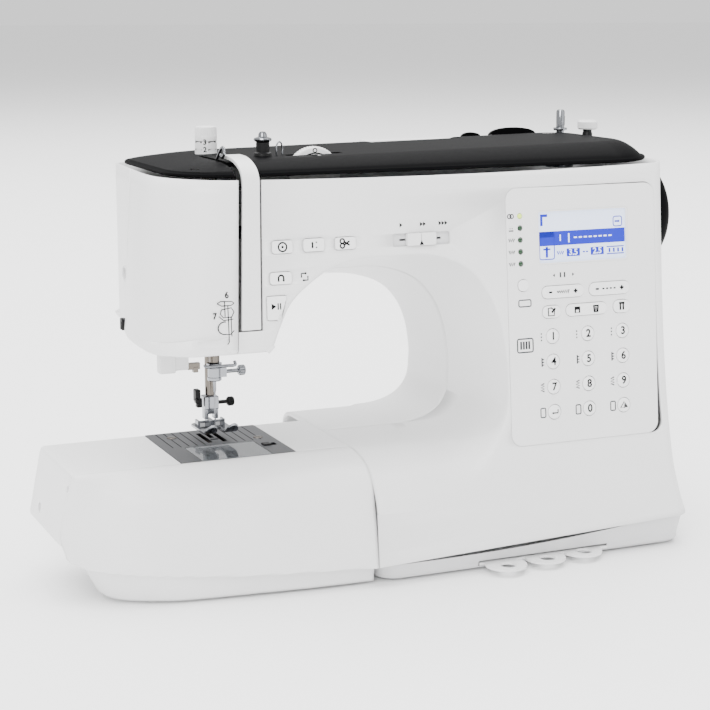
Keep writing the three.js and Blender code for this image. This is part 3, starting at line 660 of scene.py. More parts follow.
@dataclass
class Covers:
    """The white front, rear and face covers: one skin, cut along its seams."""

    top: float = 235.0
    flange: float = 12.0
    front: float = -53.0
    rear: float = 78.0
    right: float = 173.5
    head: float = 141.0
    arch: float = 189.5
    bed: float = 74.0
    lean: float = 0.095
    side_round: float = 40.0
    head_round: float = 7.0
    right_round: tuple[float, float] = (12.8, 30.0)
    split: float = 19.5
    seam_x: float = -28.75
    # The notch for the thread strip: its right side's X at the top, its foot and its slant.
    notch_x: float = -91.2
    notch_foot: float = 153.4
    notch_slant: float = 0.035
    # The seam between the face cover and the front cover: its X at seam_top, slant and half gap.
    face_seam: float = -104.6
    seam_top: float = 232.0
    face_slant: float = 0.05
    face_gap: float = 0.35
    wall: float = 2.4
    # Openings in the side walls, as X, Y and Z ranges before the warp: inlet and screw hole.
    windows: tuple[tuple[float, ...], ...] = (
        (150, 300, 26.1, 49.1, 34, 62),
        (-300, -100, 23.7, 29.7, 173.8, 179.8),
    )

    def left(self, z: np.ndarray) -> np.ndarray:
        """The head's left side, which spreads downwards."""
        return -145.5 - 0.133 * (self.top - z)

    def warp(self, points: np.ndarray) -> np.ndarray:
        """Leans the front, flares the foot and bows the top and bottom edges.

        With s the share of the height below the top, the front moves out by 0.095 of the drop,
        the rear by 10 s^4, the right side by 15 s^4, and the edges rise by a parabola in X. The
        head's side loses its spread, and 4 mm more, towards the rear.

        Args:
            points: n by 3 points of the straight skin.

        Returns:
            The points in place.
        """
        x, y, z = points.T
        drop = self.top - z
        share = np.clip(drop / (self.top - self.flange), 0, None)
        back = (y - self.front) / (self.rear - self.front)
        right = np.clip((x - 60) / (self.right - 60), 0, 1)
        head_side = smooth_step((-95 - x) / 50) * smooth_step((y + 10) / 73)
        tuck = 0.133 * np.clip(drop, 0, None) + 4
        new_x = x + 15 * right * share**4 + tuck * head_side
        new_y = y + 10 * back * share**4 - (1 - back) * self.lean * drop
        low = np.clip(1 - (z - self.flange) / 40, 0, 1)
        high = np.clip(1 - drop / 14, 0, 1)
        new_z = z + 3.5e-4 * (x - 7.75) ** 2 * low + (1e-4 * (x - 18) ** 2 - 0.5) * high
        return np.c_[new_x, new_y, new_z]

    def outline(self) -> tuple[np.ndarray, ...]:
        """The C-shaped outline down the head, round the arch and along the bed.

        Returns:
            Outline points (X, Z), their front and rear inner points, the front and rear depths
            of the round edge, and the rear outline.
        """
        bend = self.head_round
        z = np.linspace(self.top, self.head + bend, 14)
        side = np.c_[self.left(z), z]
        turn = np.linspace(math.pi, 1.5 * math.pi, 9)[1:]
        foot_x = float(self.left(np.array(self.head + bend))) + bend
        corner = np.c_[foot_x + bend * np.cos(turn), self.head + bend + bend * np.sin(turn)]
        base = np.c_[np.linspace(foot_x, -89.5, 26)[1:], np.full(25, self.head)]
        arch = spline(
            [(-88.5, 141.5), (-82.9, 154.6), (-76.4, 166.6), (-65.7, 176.2), (-51.5, 184.6),
             (-35, 188.8), (-13, 189.5), (12, 188.4), (33, 180), (46, 165.1), (53.5, 145.6),
             (57, 122), (57, 106)],
            90,
        )
        t = np.linspace(0, 1, 26)[1:, None]
        ends = [np.array(p) for p in ((57, 106), (57, 74), (20, 74))]
        heel = (1 - t) ** 2 * ends[0] + 2 * t * (1 - t) * ends[1] + t**2 * ends[2]
        bed = np.c_[np.linspace(20, -45, 14)[1:], np.full(13, self.bed)]
        path = np.vstack([side, corner, base, arch, heel, bed])
        count = [len(p) for p in (side, corner, base, arch, heel, bed)]
        part = np.repeat(np.arange(6), count)
        step = np.gradient(path, axis=0)
        step /= np.linalg.norm(step, axis=1)[:, None]
        inward = np.c_[-step[:, 1], step[:, 0]]

        # Beside the panel the flat of the front reaches almost to the edge.
        edge = 3 - 2.2 * smooth_step((path[:, 0] - 40) / 15)
        depth = np.full(len(path), 3.0)
        grow = smooth_step((part == 4) * (57 - path[:, 0]) / 37.0) + (part == 5)
        edge += 28 * grow
        depth += 31 * grow
        inner = path + inward * edge[:, None]
        # Round the head's front left corner the inner line stays on the flat of the front.
        reach = self.left(path[:, 1]) + self.side_round
        inner[part == 0] = np.c_[reach, path[:, 1]][part == 0]
        depth[part == 0] = self.side_round
        turning = ((part == 1) | (part == 2)) & (path[:, 0] < foot_x - bend + self.side_round)
        along = (path[:, 0] - (foot_x - bend)) / self.side_round
        centre = foot_x - bend + self.side_round
        inner[turning] = np.c_[centre + 3 * along, self.head + 12 - 8 * along][turning]
        round_depth = self.side_round - np.sqrt(
            np.clip(self.side_round**2 - (centre - path[:, 0]) ** 2, 0, None)
        )
        depth[turning] = np.maximum(round_depth, 3.5)[turning]

        low = (162 - self.head) / (self.arch - self.head)
        right_low = (162 - self.bed) / (self.arch - self.bed)
        share = np.where(part >= 4, 1.0, smooth_step((path[:, 0] + 40) / 60))
        left_z = self.head + (path[:, 1] - self.head) * low
        right_z = self.bed + (path[:, 1] - self.bed) * right_low
        rear = path.copy()
        arching = part >= 3
        rear[arching, 1] = ((1 - share) * left_z + share * right_z)[arching]
        rear_depth = np.where(part == 0, 20.0, np.where(part == 5, 11.5, 7.0))
        rear_inner = rear + inward * (rear_depth * 0.8)[:, None]
        rear_inner[part == 0] = np.c_[self.left(path[:, 1]) + 20, path[:, 1]][part == 0]
        rear_inner[turning] = np.c_[
            np.maximum(path[:, 0] + 8, foot_x + 8), np.full(len(path), self.head + 8)
        ][turning]
        return path, inner, rear_inner, depth, rear_depth, rear

    def wrap(
        self,
        path: np.ndarray,
        inner: np.ndarray,
        rear_inner: np.ndarray,
        depth: np.ndarray,
        rear_depth: np.ndarray,
        rear: np.ndarray,
    ) -> Mesh:
        """Carries the round front edge, the wall and the round rear edge along an outline.

        Over the front edge a point is inner + (outline - inner) sin(a), at a depth of
        depth (1 - cos(a)); the rear edge mirrors it.

        Args:
            path: the outline at the wall's front.
            inner: where the front edge meets the flat of the front.
            rear_inner: where the rear edge meets the flat of the rear.
            depth: the front edge's depth at each point.
            rear_depth: the rear edge's depth at each point.
            rear: the outline at the wall's rear.

        Returns:
            The open strip.
        """
        rows = []
        quarter = np.linspace(0, math.pi / 2, 10)
        for a in quarter:
            flat = inner + (path - inner) * math.sin(a)
            rows.append(np.c_[flat[:, 0], self.front + depth * (1 - math.cos(a)), flat[:, 1]])
        start = self.front + depth
        end = self.rear - rear_depth
        for t in np.linspace(0, 1, 8)[1:]:
            flat = path + (rear - path) * t
            rows.append(np.c_[flat[:, 0], start + (end - start) * t, flat[:, 1]])
        for a in quarter[::-1][1:]:
            flat = rear_inner + (rear - rear_inner) * math.sin(a)
            depth_in = rear_depth * (1 - math.cos(a))
            rows.append(np.c_[flat[:, 0], self.rear - depth_in, flat[:, 1]])
        return grid(np.array(rows))

    def skin(self, holes: Sequence[np.ndarray]) -> Mesh:
        """The whole outer skin.

        Args:
            holes: outlines cut through the flat of the front.

        Returns:
            The skin, before its warp.
        """
        left = self.outline()
        z = np.linspace(self.flange, self.top, 40)
        wall = np.c_[np.full(40, self.right), z]
        inner = wall - np.array([self.right_round[0], 0])
        rear_inner = wall - np.array([20, 0])
        ones = np.ones(40)
        right = (wall, inner, rear_inner, self.right_round[1] * ones, 20 * ones, wall)
        meshes = [self.wrap(*left), self.wrap(*right)]
        for index, depth, cuts in ((1, self.front, list(holes)), (2, self.rear, [])):
            foot = [[-45, self.flange]] + [[x, self.flange] for x in np.linspace(-30, 140, 18)]
            roof = [[x, self.top] for x in np.linspace(140, -100, 25)]
            rim = np.vstack([left[index], foot, right[index], roof])
            keep = np.r_[True, np.linalg.norm(np.diff(rim, axis=0), axis=1) > 1e-6]
            meshes.append(
                fill([rim[keep], *cuts], lambda p: np.c_[p[:, 0], np.full(len(p), depth), p[:, 1]])
            )
        return merged(meshes)

    def pieces(self, holes: Sequence[np.ndarray]) -> None:
        """Cuts the skin along its seams and publishes the three covers.

        Args:
            holes: outlines cut through the flat of the front.
        """
        points, faces = self.skin(holes)
        data = bpy.data.meshes.new("cover_skin")
        data.from_pydata(points.tolist(), [], faces)
        work = bmesh.new()
        work.from_mesh(data)
        bpy.data.meshes.remove(data)
        bmesh.ops.remove_doubles(work, verts=work.verts, dist=0.01)
        bmesh.ops.recalc_face_normals(work, faces=work.faces)
        gap = 0.3
        cuts = [((0, self.split - gap, 0), (0, 1, 0)), ((0, self.split + gap, 0), (0, 1, 0))]
        cuts += [((self.seam_x, 0, 0), (1, 0, 0))]
        cuts += [((0, 0, h), (0, 0, 1)) for h in (20, 30, 42, 56, 74, 96, 120, 150)]
        seam = (1, 0, -self.face_slant)
        cuts += [
            ((self.face_seam + side, 0, self.seam_top), seam)
            for side in (-self.face_gap, self.face_gap)
        ]
        cuts += [((0, 0, self.notch_foot), (0, 0, 1))]
        cuts += [((self.notch_x, 0, self.top), (1, 0, -self.notch_slant))]
        for _, _, y0, y1, z0, z1 in self.windows:
            cuts += [((0, y, 0), (0, 1, 0)) for y in (y0, y1)]
            cuts += [((0, 0, z), (0, 0, 1)) for z in (z0, z1)]
        for place, normal in cuts:
            everything = list(work.verts) + list(work.edges) + list(work.faces)
            bmesh.ops.bisect_plane(work, geom=everything, plane_co=place, plane_no=normal)
        parts: dict[str, list] = {"front_cover": [], "rear_cover": [], "face_cover": []}
        for polygon in work.faces:
            x, y, z = polygon.calc_center_median()
            from_seam = x - self.face_seam - self.face_slant * (z - self.seam_top)
            from_notch = x - self.notch_x - self.notch_slant * (z - self.top)
            if y < -20 and z > self.notch_foot and from_seam > 0 and from_notch < 0:
                continue
            if x < self.seam_x and z < self.bed + 1 or abs(y - self.split) < gap:
                continue
            if any(a < x < b and c < y < d and e < z < f for a, b, c, d, e, f in self.windows):
                continue
            if y > self.split:
                parts["rear_cover"].append(polygon)
            elif abs(from_seam) >= self.face_gap:
                parts["face_cover" if from_seam < 0 else "front_cover"].append(polygon)
        for name, members in parts.items():
            used = sorted({v.index for p in members for v in p.verts})
            number = {old: new for new, old in enumerate(used)}
            work.verts.ensure_lookup_table()
            place = np.array([work.verts[i].co for i in used])
            mesh = self.warp(place), [[number[v.index] for v in p.verts] for p in members]
            publish(
                name + "_shell", mesh, WHITE_ABS, "machine", [name], wall=self.wall, closed=False
            )
        work.free()


# ---- The lid ----------------------------------------------------------------------------


@dataclass
class Lid:
    """The black top cover, its wells, and the bobbin winder stopper that stands on it."""

    left: float = -139.0
    right: float = 169.0
    front: float = -50.0
    rear: float = 75.0
    foot: float = 235.4
    lip: float = 239.0
    top: float = 246.3
    rise: float = 0.0165
    corner: float = 29.0
    stopper: tuple[float, float] = (161.0, 26.6)

    def bow(self, x: np.ndarray) -> np.ndarray:
        """How far the lip rises from its lowest point towards the ends."""
        return 1e-4 * (x - 18) ** 2

    def surface(self) -> Mesh:
        """Rings from the foot of the lip over the crown, and a flat recessed underside.

        Ring t runs from the inset, at 0, to an inner outline, at 1. The height goes from the lip
        to the top by sin(t 90 degrees)^0.85, which meets the flat of the top without a crease.

        Returns:
            The closed lid, uncut.
        """
        rim = rounded_rectangle(self.left, self.right, self.front, self.rear, self.corner, 14)
        core = rounded_rectangle(-92, 154, -26, 50, 16, 14)
        inset = rounded_rectangle(
            self.left + 3, self.right - 3, self.front + 3, self.rear - 3, self.corner - 3, 14
        )
        bow, inset_bow = self.bow(rim[:, 0]), self.bow(inset[:, 0])
        rings = [
            np.c_[inset, np.full(len(inset), self.foot + 1.8)],
            np.c_[inset, self.foot + inset_bow],
        ]
        # The lip, ring by ring: its share of the way to the inset, height and share of the bow.
        lip = (
            (0.2, self.foot, 1.0),
            (0.0, self.foot + 0.6, 1.0),
            (0.0, self.lip - 0.7, 0.4),
            (0.25, self.lip, 0.4),
            (0.55, self.lip - 0.9, 0.4),
            (0.8, self.lip - 0.2, 0.4),
        )
        rings += [np.c_[rim + (inset - rim) * share, z + bent * bow] for share, z, bent in lip]
        low = self.lip + 0.4 * inset_bow + 0.5
        for t in np.linspace(0, 1, 16):
            outline = inset + (core - inset) * t
            crown = self.top + self.rise * (outline[:, 0] - 10)
            rings.append(np.c_[outline, low + (crown - low) * math.sin(t * math.pi / 2) ** 0.85])
        points, faces = grid(np.array(rings), wrap_columns=True)
        count = len(rim)
        last = len(points) - count
        return points, faces + [list(range(count))[::-1], list(range(last, last + count))]

    def build(self) -> None:
        """Cuts the lid's wells and slots, and adds its humps, its white signs and the stopper."""
        wells = [
            rounded_box((17, 79), (44, 72), (238.4, 260)),
            rounded_box((104, 147), (52, 68), (238.4, 260)),
            rounded_box((-105.6, -91.2), (-60, -30), (230, 260)),
            rounded_box((-105.6, -102.9), (-60, 13), (230, 260)),
            rounded_box((-61.6, -27.2), (-15.8, -8.2), (230, 260)),
            lathe([(0, 240), (7.2, 240), (7.2, 262), (0, 262)], (-95.65, 28.5, 0), "z"),
            lathe([(0, 230), (3.5, 230), (3.5, 262), (0, 262)], (155.3, 51.4, 0), "z"),
        ]
        hollows = [
            rounded_box((-126, 12), (-38, 62), (229, 241.4)),
            rounded_box((11, 156), (-38, 41), (229, 241.4)),
        ]
        lid = carve(self.surface(), wells + hollows)
        publish("lid_shell", lid, BLACK_ABS, "machine", ["top_cover"], closed=False)
        humps = []
        for low, high, rise in ((92, 106, 248.6), (112, 147, 251.0)):
            t = np.linspace(0, math.pi, 13)
            across = (low + high) / 2 - (high - low) / 2 * np.cos(t)
            flank = np.c_[across, 244 + (rise - 244) * np.sin(t) ** 0.6]
            humps.append(plate([np.vstack([flank, [[high, 241], [low, 241]]])], 68.2, 71.0))
        publish("spool_rest", merged(humps), BLACK_ABS, "machine", bevel=0.6)
        marks = []
        for x, y in ((-55.5, -17.5), (-20, -17.5), (143, 44)):
            t = np.arange(9)
            zigzag = np.c_[x + 1.1 * (t - 4), y + 0.9 * (1 - 2 * (t % 2))]
            sign = laid_flat(plate(line(zigzag, 0.35), 0, 0.12))
            marks.append(moved(sign, (0, 0, self.top + self.rise * (x - 10) - 0.55 * (y < 0))))
        publish("lid_signs", merged(marks), WHITE_ABS, "machine")
        x, y = self.stopper
        post = [(0, 244), (3.4, 244), (3.2, 249), (2.8, 250), (2.8, 252), (0, 252)]
        publish("stopper_post", lathe(post, (x, y, 0), "z", 32), BLACK_POM, "machine")
        disc = [(0, 251.6), (5.6, 251.6), (6.4, 252.4), (6.4, 256.4), (5.4, 257.4), (0, 257.5)]
        publish("stopper_disc", lathe(disc, (x, y, 0), "z", 48), WHITE_ABS, "machine")


# ---- Table, arm and base ----------------------------------------------------------------


@dataclass
class ExtensionTable:
    """The table that pulls off to the left: one skin whose section changes round its front."""

    wall: float = 2.4

    def sections(self) -> np.ndarray:
        """Sections from the right end round to the left, each from the rear edge to the foot."""
        back = -28.3
        return np.array(
            [
                [(-29.05, back, 74), (-29.05, -37, 73.9), (-29.05, -50.6, 70.8), (-29.05, -57.8, 66),
                 (-29.05, -63.5, 57.9), (-29.05, -68.2, 39.6), (-29.05, -72.3, 14.5),
                 (-29.05, -71.8, 12), (-29.05, -66, 10.5), (-29.05, -64.6, 2)],
                [(-62, back, 74), (-62, -36, 73.5), (-62, -50, 68.9), (-62, -57, 62.5),
                 (-62, -61.8, 55.5), (-62.5, -65.8, 37), (-63, -70.2, 16), (-63, -69.6, 13.4),
                 (-63, -64.2, 12), (-63, -62.8, 2)],
                [(-95, back, 74), (-95, -35.5, 73.1), (-95, -49, 67), (-95, -57, 60.3),
                 (-95, -60.6, 55.5), (-96, -64, 37), (-97.5, -67.2, 17.2), (-97.6, -66.4, 14.8),
                 (-97, -61, 13.4), (-97, -59.4, 2)],
                [(-130, back, 74), (-130, -34, 72.9), (-130, -44.5, 66.8), (-130, -52.5, 60.4),
                 (-130.5, -55.2, 56.8), (-132.5, -58, 38), (-134.5, -60.9, 19), (-134.8, -60, 16.6),
                 (-133, -56.6, 15), (-131.8, -55.4, 2)],
                [(-155, back, 74), (-155, -32, 73.4), (-155.5, -39, 68.4), (-156, -46, 62.5),
                 (-157.3, -48.4, 59.2), (-161.5, -51.6, 41), (-165.5, -55, 22), (-166, -54.2, 19.4),
                 (-160, -52.4, 17), (-149.3, -51.5, 2)],
                [(-175, back, 74), (-175.6, -30, 74), (-176.5, -32.6, 71.8), (-177.6, -35.4, 68.3),
                 (-179.6, -37.2, 64.6), (-184.4, -40.8, 45), (-188, -44, 24.4), (-188, -43, 21.6),
                 (-181, -42, 18.6), (-168, -43, 2)],
                [(-191, back, 74), (-192, -29.4, 74), (-193, -30.4, 73.8), (-194.3, -31.4, 73.2),
                 (-195.6, -32.2, 70), (-200.5, -33, 48), (-199, -32, 27), (-198.2, -31.4, 24),
                 (-190, -33, 20.4), (-178, -36, 3)],
                [(-195.6, back, 74), (-195.8, back, 74), (-196, back, 73.9), (-196.3, back, 73.4),
                 (-197, back, 70), (-203.6, back, 42), (-201, back, 28), (-199.6, back, 25),
                 (-192, back, 21), (-183, back, 5)],
            ],
            float,
        )

    def build(self) -> None:
        """Smooths the sections along both directions and publishes the skin."""
        known = self.sections()
        around = np.stack([spline(known[:, k], 90) for k in range(known.shape[1])], axis=1)
        table = np.stack([spline(row, 60) for row in around], axis=0)
        table[0, :, 0] = -29.05
        table[-1, :, 1] = -28.3
        publish(
            "extension_table_shell", grid(table), WHITE_ABS, "table", ["extension_table"],
            wall=self.wall, sharp=26,
        )


@dataclass
class FreeArm:
    """The free arm's cover, with its sloping end and the openings for the fittings in it."""

    right: float = -29.05
    left: float = -196.25
    spread: float = 0.2
    front: float = -27.85
    rear: float = 46.0
    top: float = 74.0
    low: float = 33.0

    def end_x(self, z: np.ndarray) -> np.ndarray:
        """The end face, which spreads outwards as it goes down."""
        return self.left - self.spread * (self.top - z)

    def build(self) -> None:
        """Carries a round-cornered section along the arm and closes its end."""
        section = rounded_rectangle(self.front, self.rear, self.low, self.top, 2.2, 6)
        rows = []
        for inset, back in ((0.0, None), (0.0, 6.0), (0.0, 2.2), (0.65, 0.65), (2.2, 0.0)):
            middle = np.array([(self.front + self.rear) / 2, (self.low + self.top) / 2])
            half = np.array([self.rear - self.front, self.top - self.low]) / 2
            ring = middle + (section - middle) * (1 - inset / half)
            x = np.full(len(ring), self.right) if back is None else self.end_x(ring[:, 1]) + back
            rows.append(np.c_[x, ring])
        points, faces = grid(np.array(rows), wrap_columns=True)
        count = len(section)
        last = len(points) - count
        body = points, faces + [list(range(count))[::-1], list(range(last, last + count))]
        cutters = [
            rounded_box((-132.5, -61.9), (-40, 60), (72.1, 90)),
            rounded_box((-126, -65.4), (-23, 41), (36, 90)),
            lathe([(0, -212), (3.1, -212), (3.1, -198.9), (0, -198.9)], (0, 25, 42), "x", 24),
            rounded_box((-212, -196.4), (-26.4, -23.4), (63.4, 66.8)),
            rounded_box((-212, -202.2), (-27, -26.2), (52.6, 56.6)),
            rounded_box((-212, -203.4), (-27, -26.2), (43.4, 47.0)),
        ]
        publish(
            "free_arm_shell", carve(body, cutters), WHITE_ABS, "machine", ["free_arm_cover"],
            bevel=0.25, closed=False,
        )


@dataclass
class Base:
    """The base under the covers: a skirt that follows their curved lower edge, with a slot in its
    front, and its rubber feet.
    """

    left: float = -28.25
    right: float = 184.0
    front: float = -70.6
    rear: float = 81.0
    corner: float = 12.0
    foot: float = 1.8
    draft: float = 3.4

    def build(self) -> None:
        """The skirt runs from the foot to just below the covers, whose edge is a parabola."""
        rim = rounded_rectangle(self.left, self.right, self.front, self.rear, self.corner, 8)
        dense = []
        for a, b in zip(rim, np.roll(rim, -1, axis=0)):
            count = max(1, int(np.linalg.norm(b - a) / 8))
            dense.append(a + (b - a) * np.linspace(0, 1, count, endpoint=False)[:, None])
        rim = np.vstack(dense)
        middle = rim.mean(axis=0)
        edge = 12 + 3.5e-4 * (rim[:, 0] - 7.75) ** 2 - 0.5
        rows = []
        for share, inset in ((0, self.draft + 1.2), (0.06, self.draft), (0.98, 0.1), (1, 0)):
            scale = 1 - inset / np.array([106, 76])
            flat = middle + (rim - middle) * scale
            flat[:, 0] = np.maximum(flat[:, 0], self.left)
            rows.append(np.c_[flat, self.foot + (edge - self.foot) * share])
        points, faces = grid(np.array(rows), wrap_columns=True)
        foot = list(range(len(rim)))
        inner = middle + (rim - middle) * (1 - 2.6 / np.array([106, 76]))
        back = np.c_[inner, edge - 0.4]
        floor = np.c_[inner, np.full(len(inner), self.foot + 2)]
        start = len(points)
        wall, wall_faces = grid(np.array([points[-len(rim):], back, floor]), wrap_columns=True)
        faces += [[start + i for i in face] for face in wall_faces]
        last = start + 2 * len(rim)
        faces += [foot[::-1], list(range(last, last + len(rim)))]
        tray = np.vstack([points, wall]), faces
        slot = rounded_box((37.4, 125.6), (-90, -50), (3.3, 6.5))
        publish(
            "base_skirt", carve(tray, [slot]), BASE_ABS, "machine", ["base_tray"],
            bevel=0.3, closed=False,
        )
        for number, (x, y) in enumerate(((-14, -52), (162, -52), (-14, 62), (162, 62))):
            pad = [(0, 0), (7.2, 0), (8, 0.6), (8, 1.6), (6.4, 2.6), (0, 2.6)]
            publish(f"rubber_foot_{number + 1}", lathe(pad, (x, y, 0), "z", 40), RUBBER, "machine")


@dataclass
class FaceDetails:
    """The threading picture and the small fittings of the head's left side."""

    ink_left: float = -116.5
    top: float = 172.0
    squeeze: float = 0.78  # the threading picture's height over its drawn height
    # The picture's strokes: each is a width and its points, right of and above (ink_left, top).
    strokes: tuple = (
        (0.3, (-4.2, -2.6), (-2, -1.2), (5.4, -1.6), (6.6, -3)),
        (0.3, (-4.2, -2.6), (-1.4, -4.4), (4.6, -4.4), (6.6, -3)),
        (0.3, (0.6, -1), (0.6, -12)),
        (0.3, (2.6, -4), (2.6, -30)),
        (0.27, (4.4, -12), (4.4, -26)),
        (0.3, (-1.6, -7), (4.8, -6), (6.4, -9), (4.8, -12.6)),
        (0.3, (-1.6, -7), (-2.4, -10), (-0.6, -12.6), (4.8, -12.6)),
        (0.3, (-3.4, -11.6), (-0.4, -14.6), (5.8, -14)),
        (0.3, (0.6, -24.4), (3.6, -24.6), (6, -22)),
        (0.3, (2.6, -30), (1.4, -31.6)),
    )
    screw_place: tuple[float, float, float] = (-147.6, 24.5, 176.8)

    def build(self) -> None:
        """Draws the needle bar, its thread guide and the thread, with the numbers 6 and 7."""
        x, z = self.ink_left, self.top
        shrink = np.array([0.9, self.squeeze])
        lines = [line([(x + dx, z + dz) for dx, dz in path], width) for width, *path in self.strokes]
        lines.append(line(arc(x + 0.2, z - 20, 4.4, 80, 280, 24), 0.35))
        shapes = [[(p - (x, z)) * shrink + (x, z) for p in loops] for loops in lines]
        marks = ink(shapes, -0.02)
        marks.append(moved(figure("6", x + 2, z + 2.2, 3.4), (0, -0.05, 0)))
        marks.append(moved(figure("7", x - 5.4, z - 8.9, 3.4), (0, -0.05, 0)))
        publish("threading_picture", on_front(merged(marks)), INK, "machine")
        cup = [(0, 3.4), (2.9, 3.4), (3.3, 0.2), (3.5, -0.5), (4.5, -0.5), (4.8, -0.1),
               (4.8, 0.8), (3.8, 1.2), (3.4, 4.2), (0, 4.2)]
        publish("screw_cup", lathe(cup, self.screw_place, "x", 40), BASE_ABS, "machine")
        head = [(0, 2.6), (2.0, 2.6), (2.4, 3.0), (2.4, 3.6), (0, 3.6)]
        publish("cover_screw", lathe(head, self.screw_place, "x", 32), NICKEL, "machine")
        guard = rounded_box((-155.6, -152.8), (5.6, 10.2), (146.8, 153.6))
        slot = rounded_box((-156.2, -154), (7, 8.4), (144, 151.6))
        publish(
            "thread_cutter_guard", carve(guard, [slot]), BLACK_POM, "machine", bevel=0.5,
            closed=False,
        )
        blade = rounded_box((-155.2, -153.8), (7.5, 7.9), (148.2, 151.7))
        publish("thread_cutter_blade", blade, CHROME, "machine", bevel=0.1)


@dataclass
class MainsInlet:
    """The pins in the inlet and the rocker of the mains switch."""

    x: float = 170.4
    y: float = 41.0
    z: float = 48.0

    def build(self) -> None:
        """Two round pins in the well, and a rocker whose lower half is pressed in."""
        pin = [(0, -8), (1.15, -8), (1.15, -0.8), (0.8, -0.2), (0, 0)]
        pins = [lathe(pin, (self.x, self.y + side, self.z), "x", 20) for side in (-2.2, 2.2)]
        publish("inlet_pins", merged(pins), NICKEL, "machine")
        rocker = rounded_box((171, 180.2), (24.1, 31.5), (41.1, 54.9))
        points = rocker[0]
        outer = points[:, 0] > 175
        points[outer, 0] -= 0.9 * (points[outer, 2] < 48)
        publish(
            "mains_rocker", (points, rocker[1]), BLACK_POM, "mains", ["power_switch"], bevel=0.7
        )


# ---- Controls ---------------------------------------------------------------------------


def on_front(mesh: Mesh) -> Mesh:
    """Sets a shape drawn in X, depth and height on the leaning front face.

    A point (x, d, z) goes to the plane's point at height z, then d square into the machine.

    Args:
        mesh: the shape, drawn in X, depth and height.

    Returns:
        The shape in its place.
    """
    lean = math.atan(Covers.lean)
    x, depth, z = np.asarray(mesh[0], float).T
    y = Covers.front - Covers.lean * (Covers.top - z) + depth * math.cos(lean)
    return np.c_[x, y, z - depth * math.sin(lean)], mesh[1]


def ink(lines: Sequence[list[np.ndarray]], depth: float, thick: float = 0.08) -> list[Mesh]:
    """Printed marks, as thin plates that stand out of a surface at a depth."""
    return [plate(loops, depth - thick, depth + 0.03) for loops in lines]


def arc(x: float, z: float, r: float, start: float, stop: float, n: int = 14) -> np.ndarray:
    """Points along a circle's arc, angles in degrees."""
    turn = np.radians(np.linspace(start, stop, n))
    return np.c_[x + r * np.cos(turn), z + r * np.sin(turn)]


@dataclass(frozen=True)
class Key:
    """One key or button: its node, its corners and its printed marks."""

    node: str
    x0: float
    x1: float
    z0: float
    z1: float
    radius: float
    slant: float = 0.0

    @property
    def centre(self) -> Point2:
        """The middle of the key, or of the broad end of one that narrows downwards."""
        shift = 0.4 * self.slant
        return (self.x0 + self.x1 - shift) / 2, (self.z0 + self.z1) / 2 + shift / 2

    def outline(self, grow: float) -> np.ndarray:
        """The key's outline, whose right side leans in by the slant.

        Args:
            grow: how far it is grown on each side.

        Returns:
            The outline's points.
        """
        rim = rounded_rectangle(
            self.x0 - grow, self.x1 + grow, self.z0 - grow, self.z1 + grow, self.radius + grow
        )
        down = (self.z1 - rim[:, 1]) / (self.z1 - self.z0)
        across = (rim[:, 0] - self.x0) / (self.x1 - self.x0)
        rim[:, 0] -= self.slant * np.clip(down * across, 0, None)
        return rim

    def hole(self) -> np.ndarray:
        """The hole that it stands in."""
        return self.outline(0.35)

    def build(self, marks: Sequence[list[np.ndarray]]) -> None:
        """A cap with rounded rims, and its marks.

        Args:
            marks: outlines of what is printed on it.
        """
        body = self.node + "_body"
        cap = on_front(plate([self.outline(0)], -0.8, 6))
        publish(self.node + "_cap", cap, KEY_PBT, body, [self.node], bevel=0.45)
        if marks:
            publish(self.node + "_mark", on_front(merged(ink(marks, -0.8))), INK, body)


def start_stop_marks(x: float, z: float) -> list:
    """A triangle and two bars."""
    triangle = [np.array([(x - 2.6, z - 1.8), (x + 0.2, z), (x - 2.6, z + 1.8)])]
    bars = [
        [rounded_rectangle(x + 0.9 + k, x + 1.6 + k, z - 1.8, z + 1.8, 0.1, 2)] for k in (0, 1.4)
    ]
    return [triangle, *bars]


def arrow(x: float, z: float, dx: float, dz: float, size: float) -> list[np.ndarray]:
    """A filled arrow head.

    Args:
        x: the middle of its base.
        z: the middle of its base.
        dx: the X part of the way that it faces.
        dz: the Z part of it.
        size: its length.

    Returns:
        Its outline.
    """
    along = np.array([dx, dz], float)
    across = np.array([-dz, dx], float)
    tip = np.array([x, z], float)
    return [np.array([tip + along * size, tip + across * size * 0.7, tip - across * size * 0.7])]


def front_marks(name: str, x: float, z: float) -> list:
    """The marks on one of the buttons of the front.

    Args:
        name: the button's node.
        x: the marks' middle.
        z: the marks' middle.

    Returns:
        The outlines of the marks.
    """
    if name == "needle_stop_button":
        return [line(circle(x, z, 2.0, 24), 0.45, True), [circle(x, z, 0.7, 12)]]
    if name == "needle_position_button":
        stem = [(x - 1, z - 1.6), (x - 1, z + 1.6)]
        dots = [[circle(x + 1.4, z + k, 0.45, 10)] for k in (-1.4, 1.4)]
        heads = [arrow(x - 1, z + 0.8 * way, 0, way, 1.1) for way in (1, -1)]
        return [line(stem, 0.5), *heads, *dots]
    if name == "thread_cutter_button":
        blades = [line([(x - 1.3, z + k), (x + 2.4, z - k)], 0.5) for k in (-1.1, 1.1)]
        rings = [line(circle(x - 2, z + k, 0.85, 14), 0.45, True) for k in (-1.3, 1.3)]
        return blades + rings
    if name == "reverse_button":
        bend = np.vstack([[(x - 1.5, z - 1.8)], arc(x, z + 0.2, 1.5, 180, 0), [(x + 1.5, z - 1)]])
        return [line(bend, 0.5), arrow(x + 1.5, z - 0.9, 0, -1, 1.2)]
    return start_stop_marks(x, z)


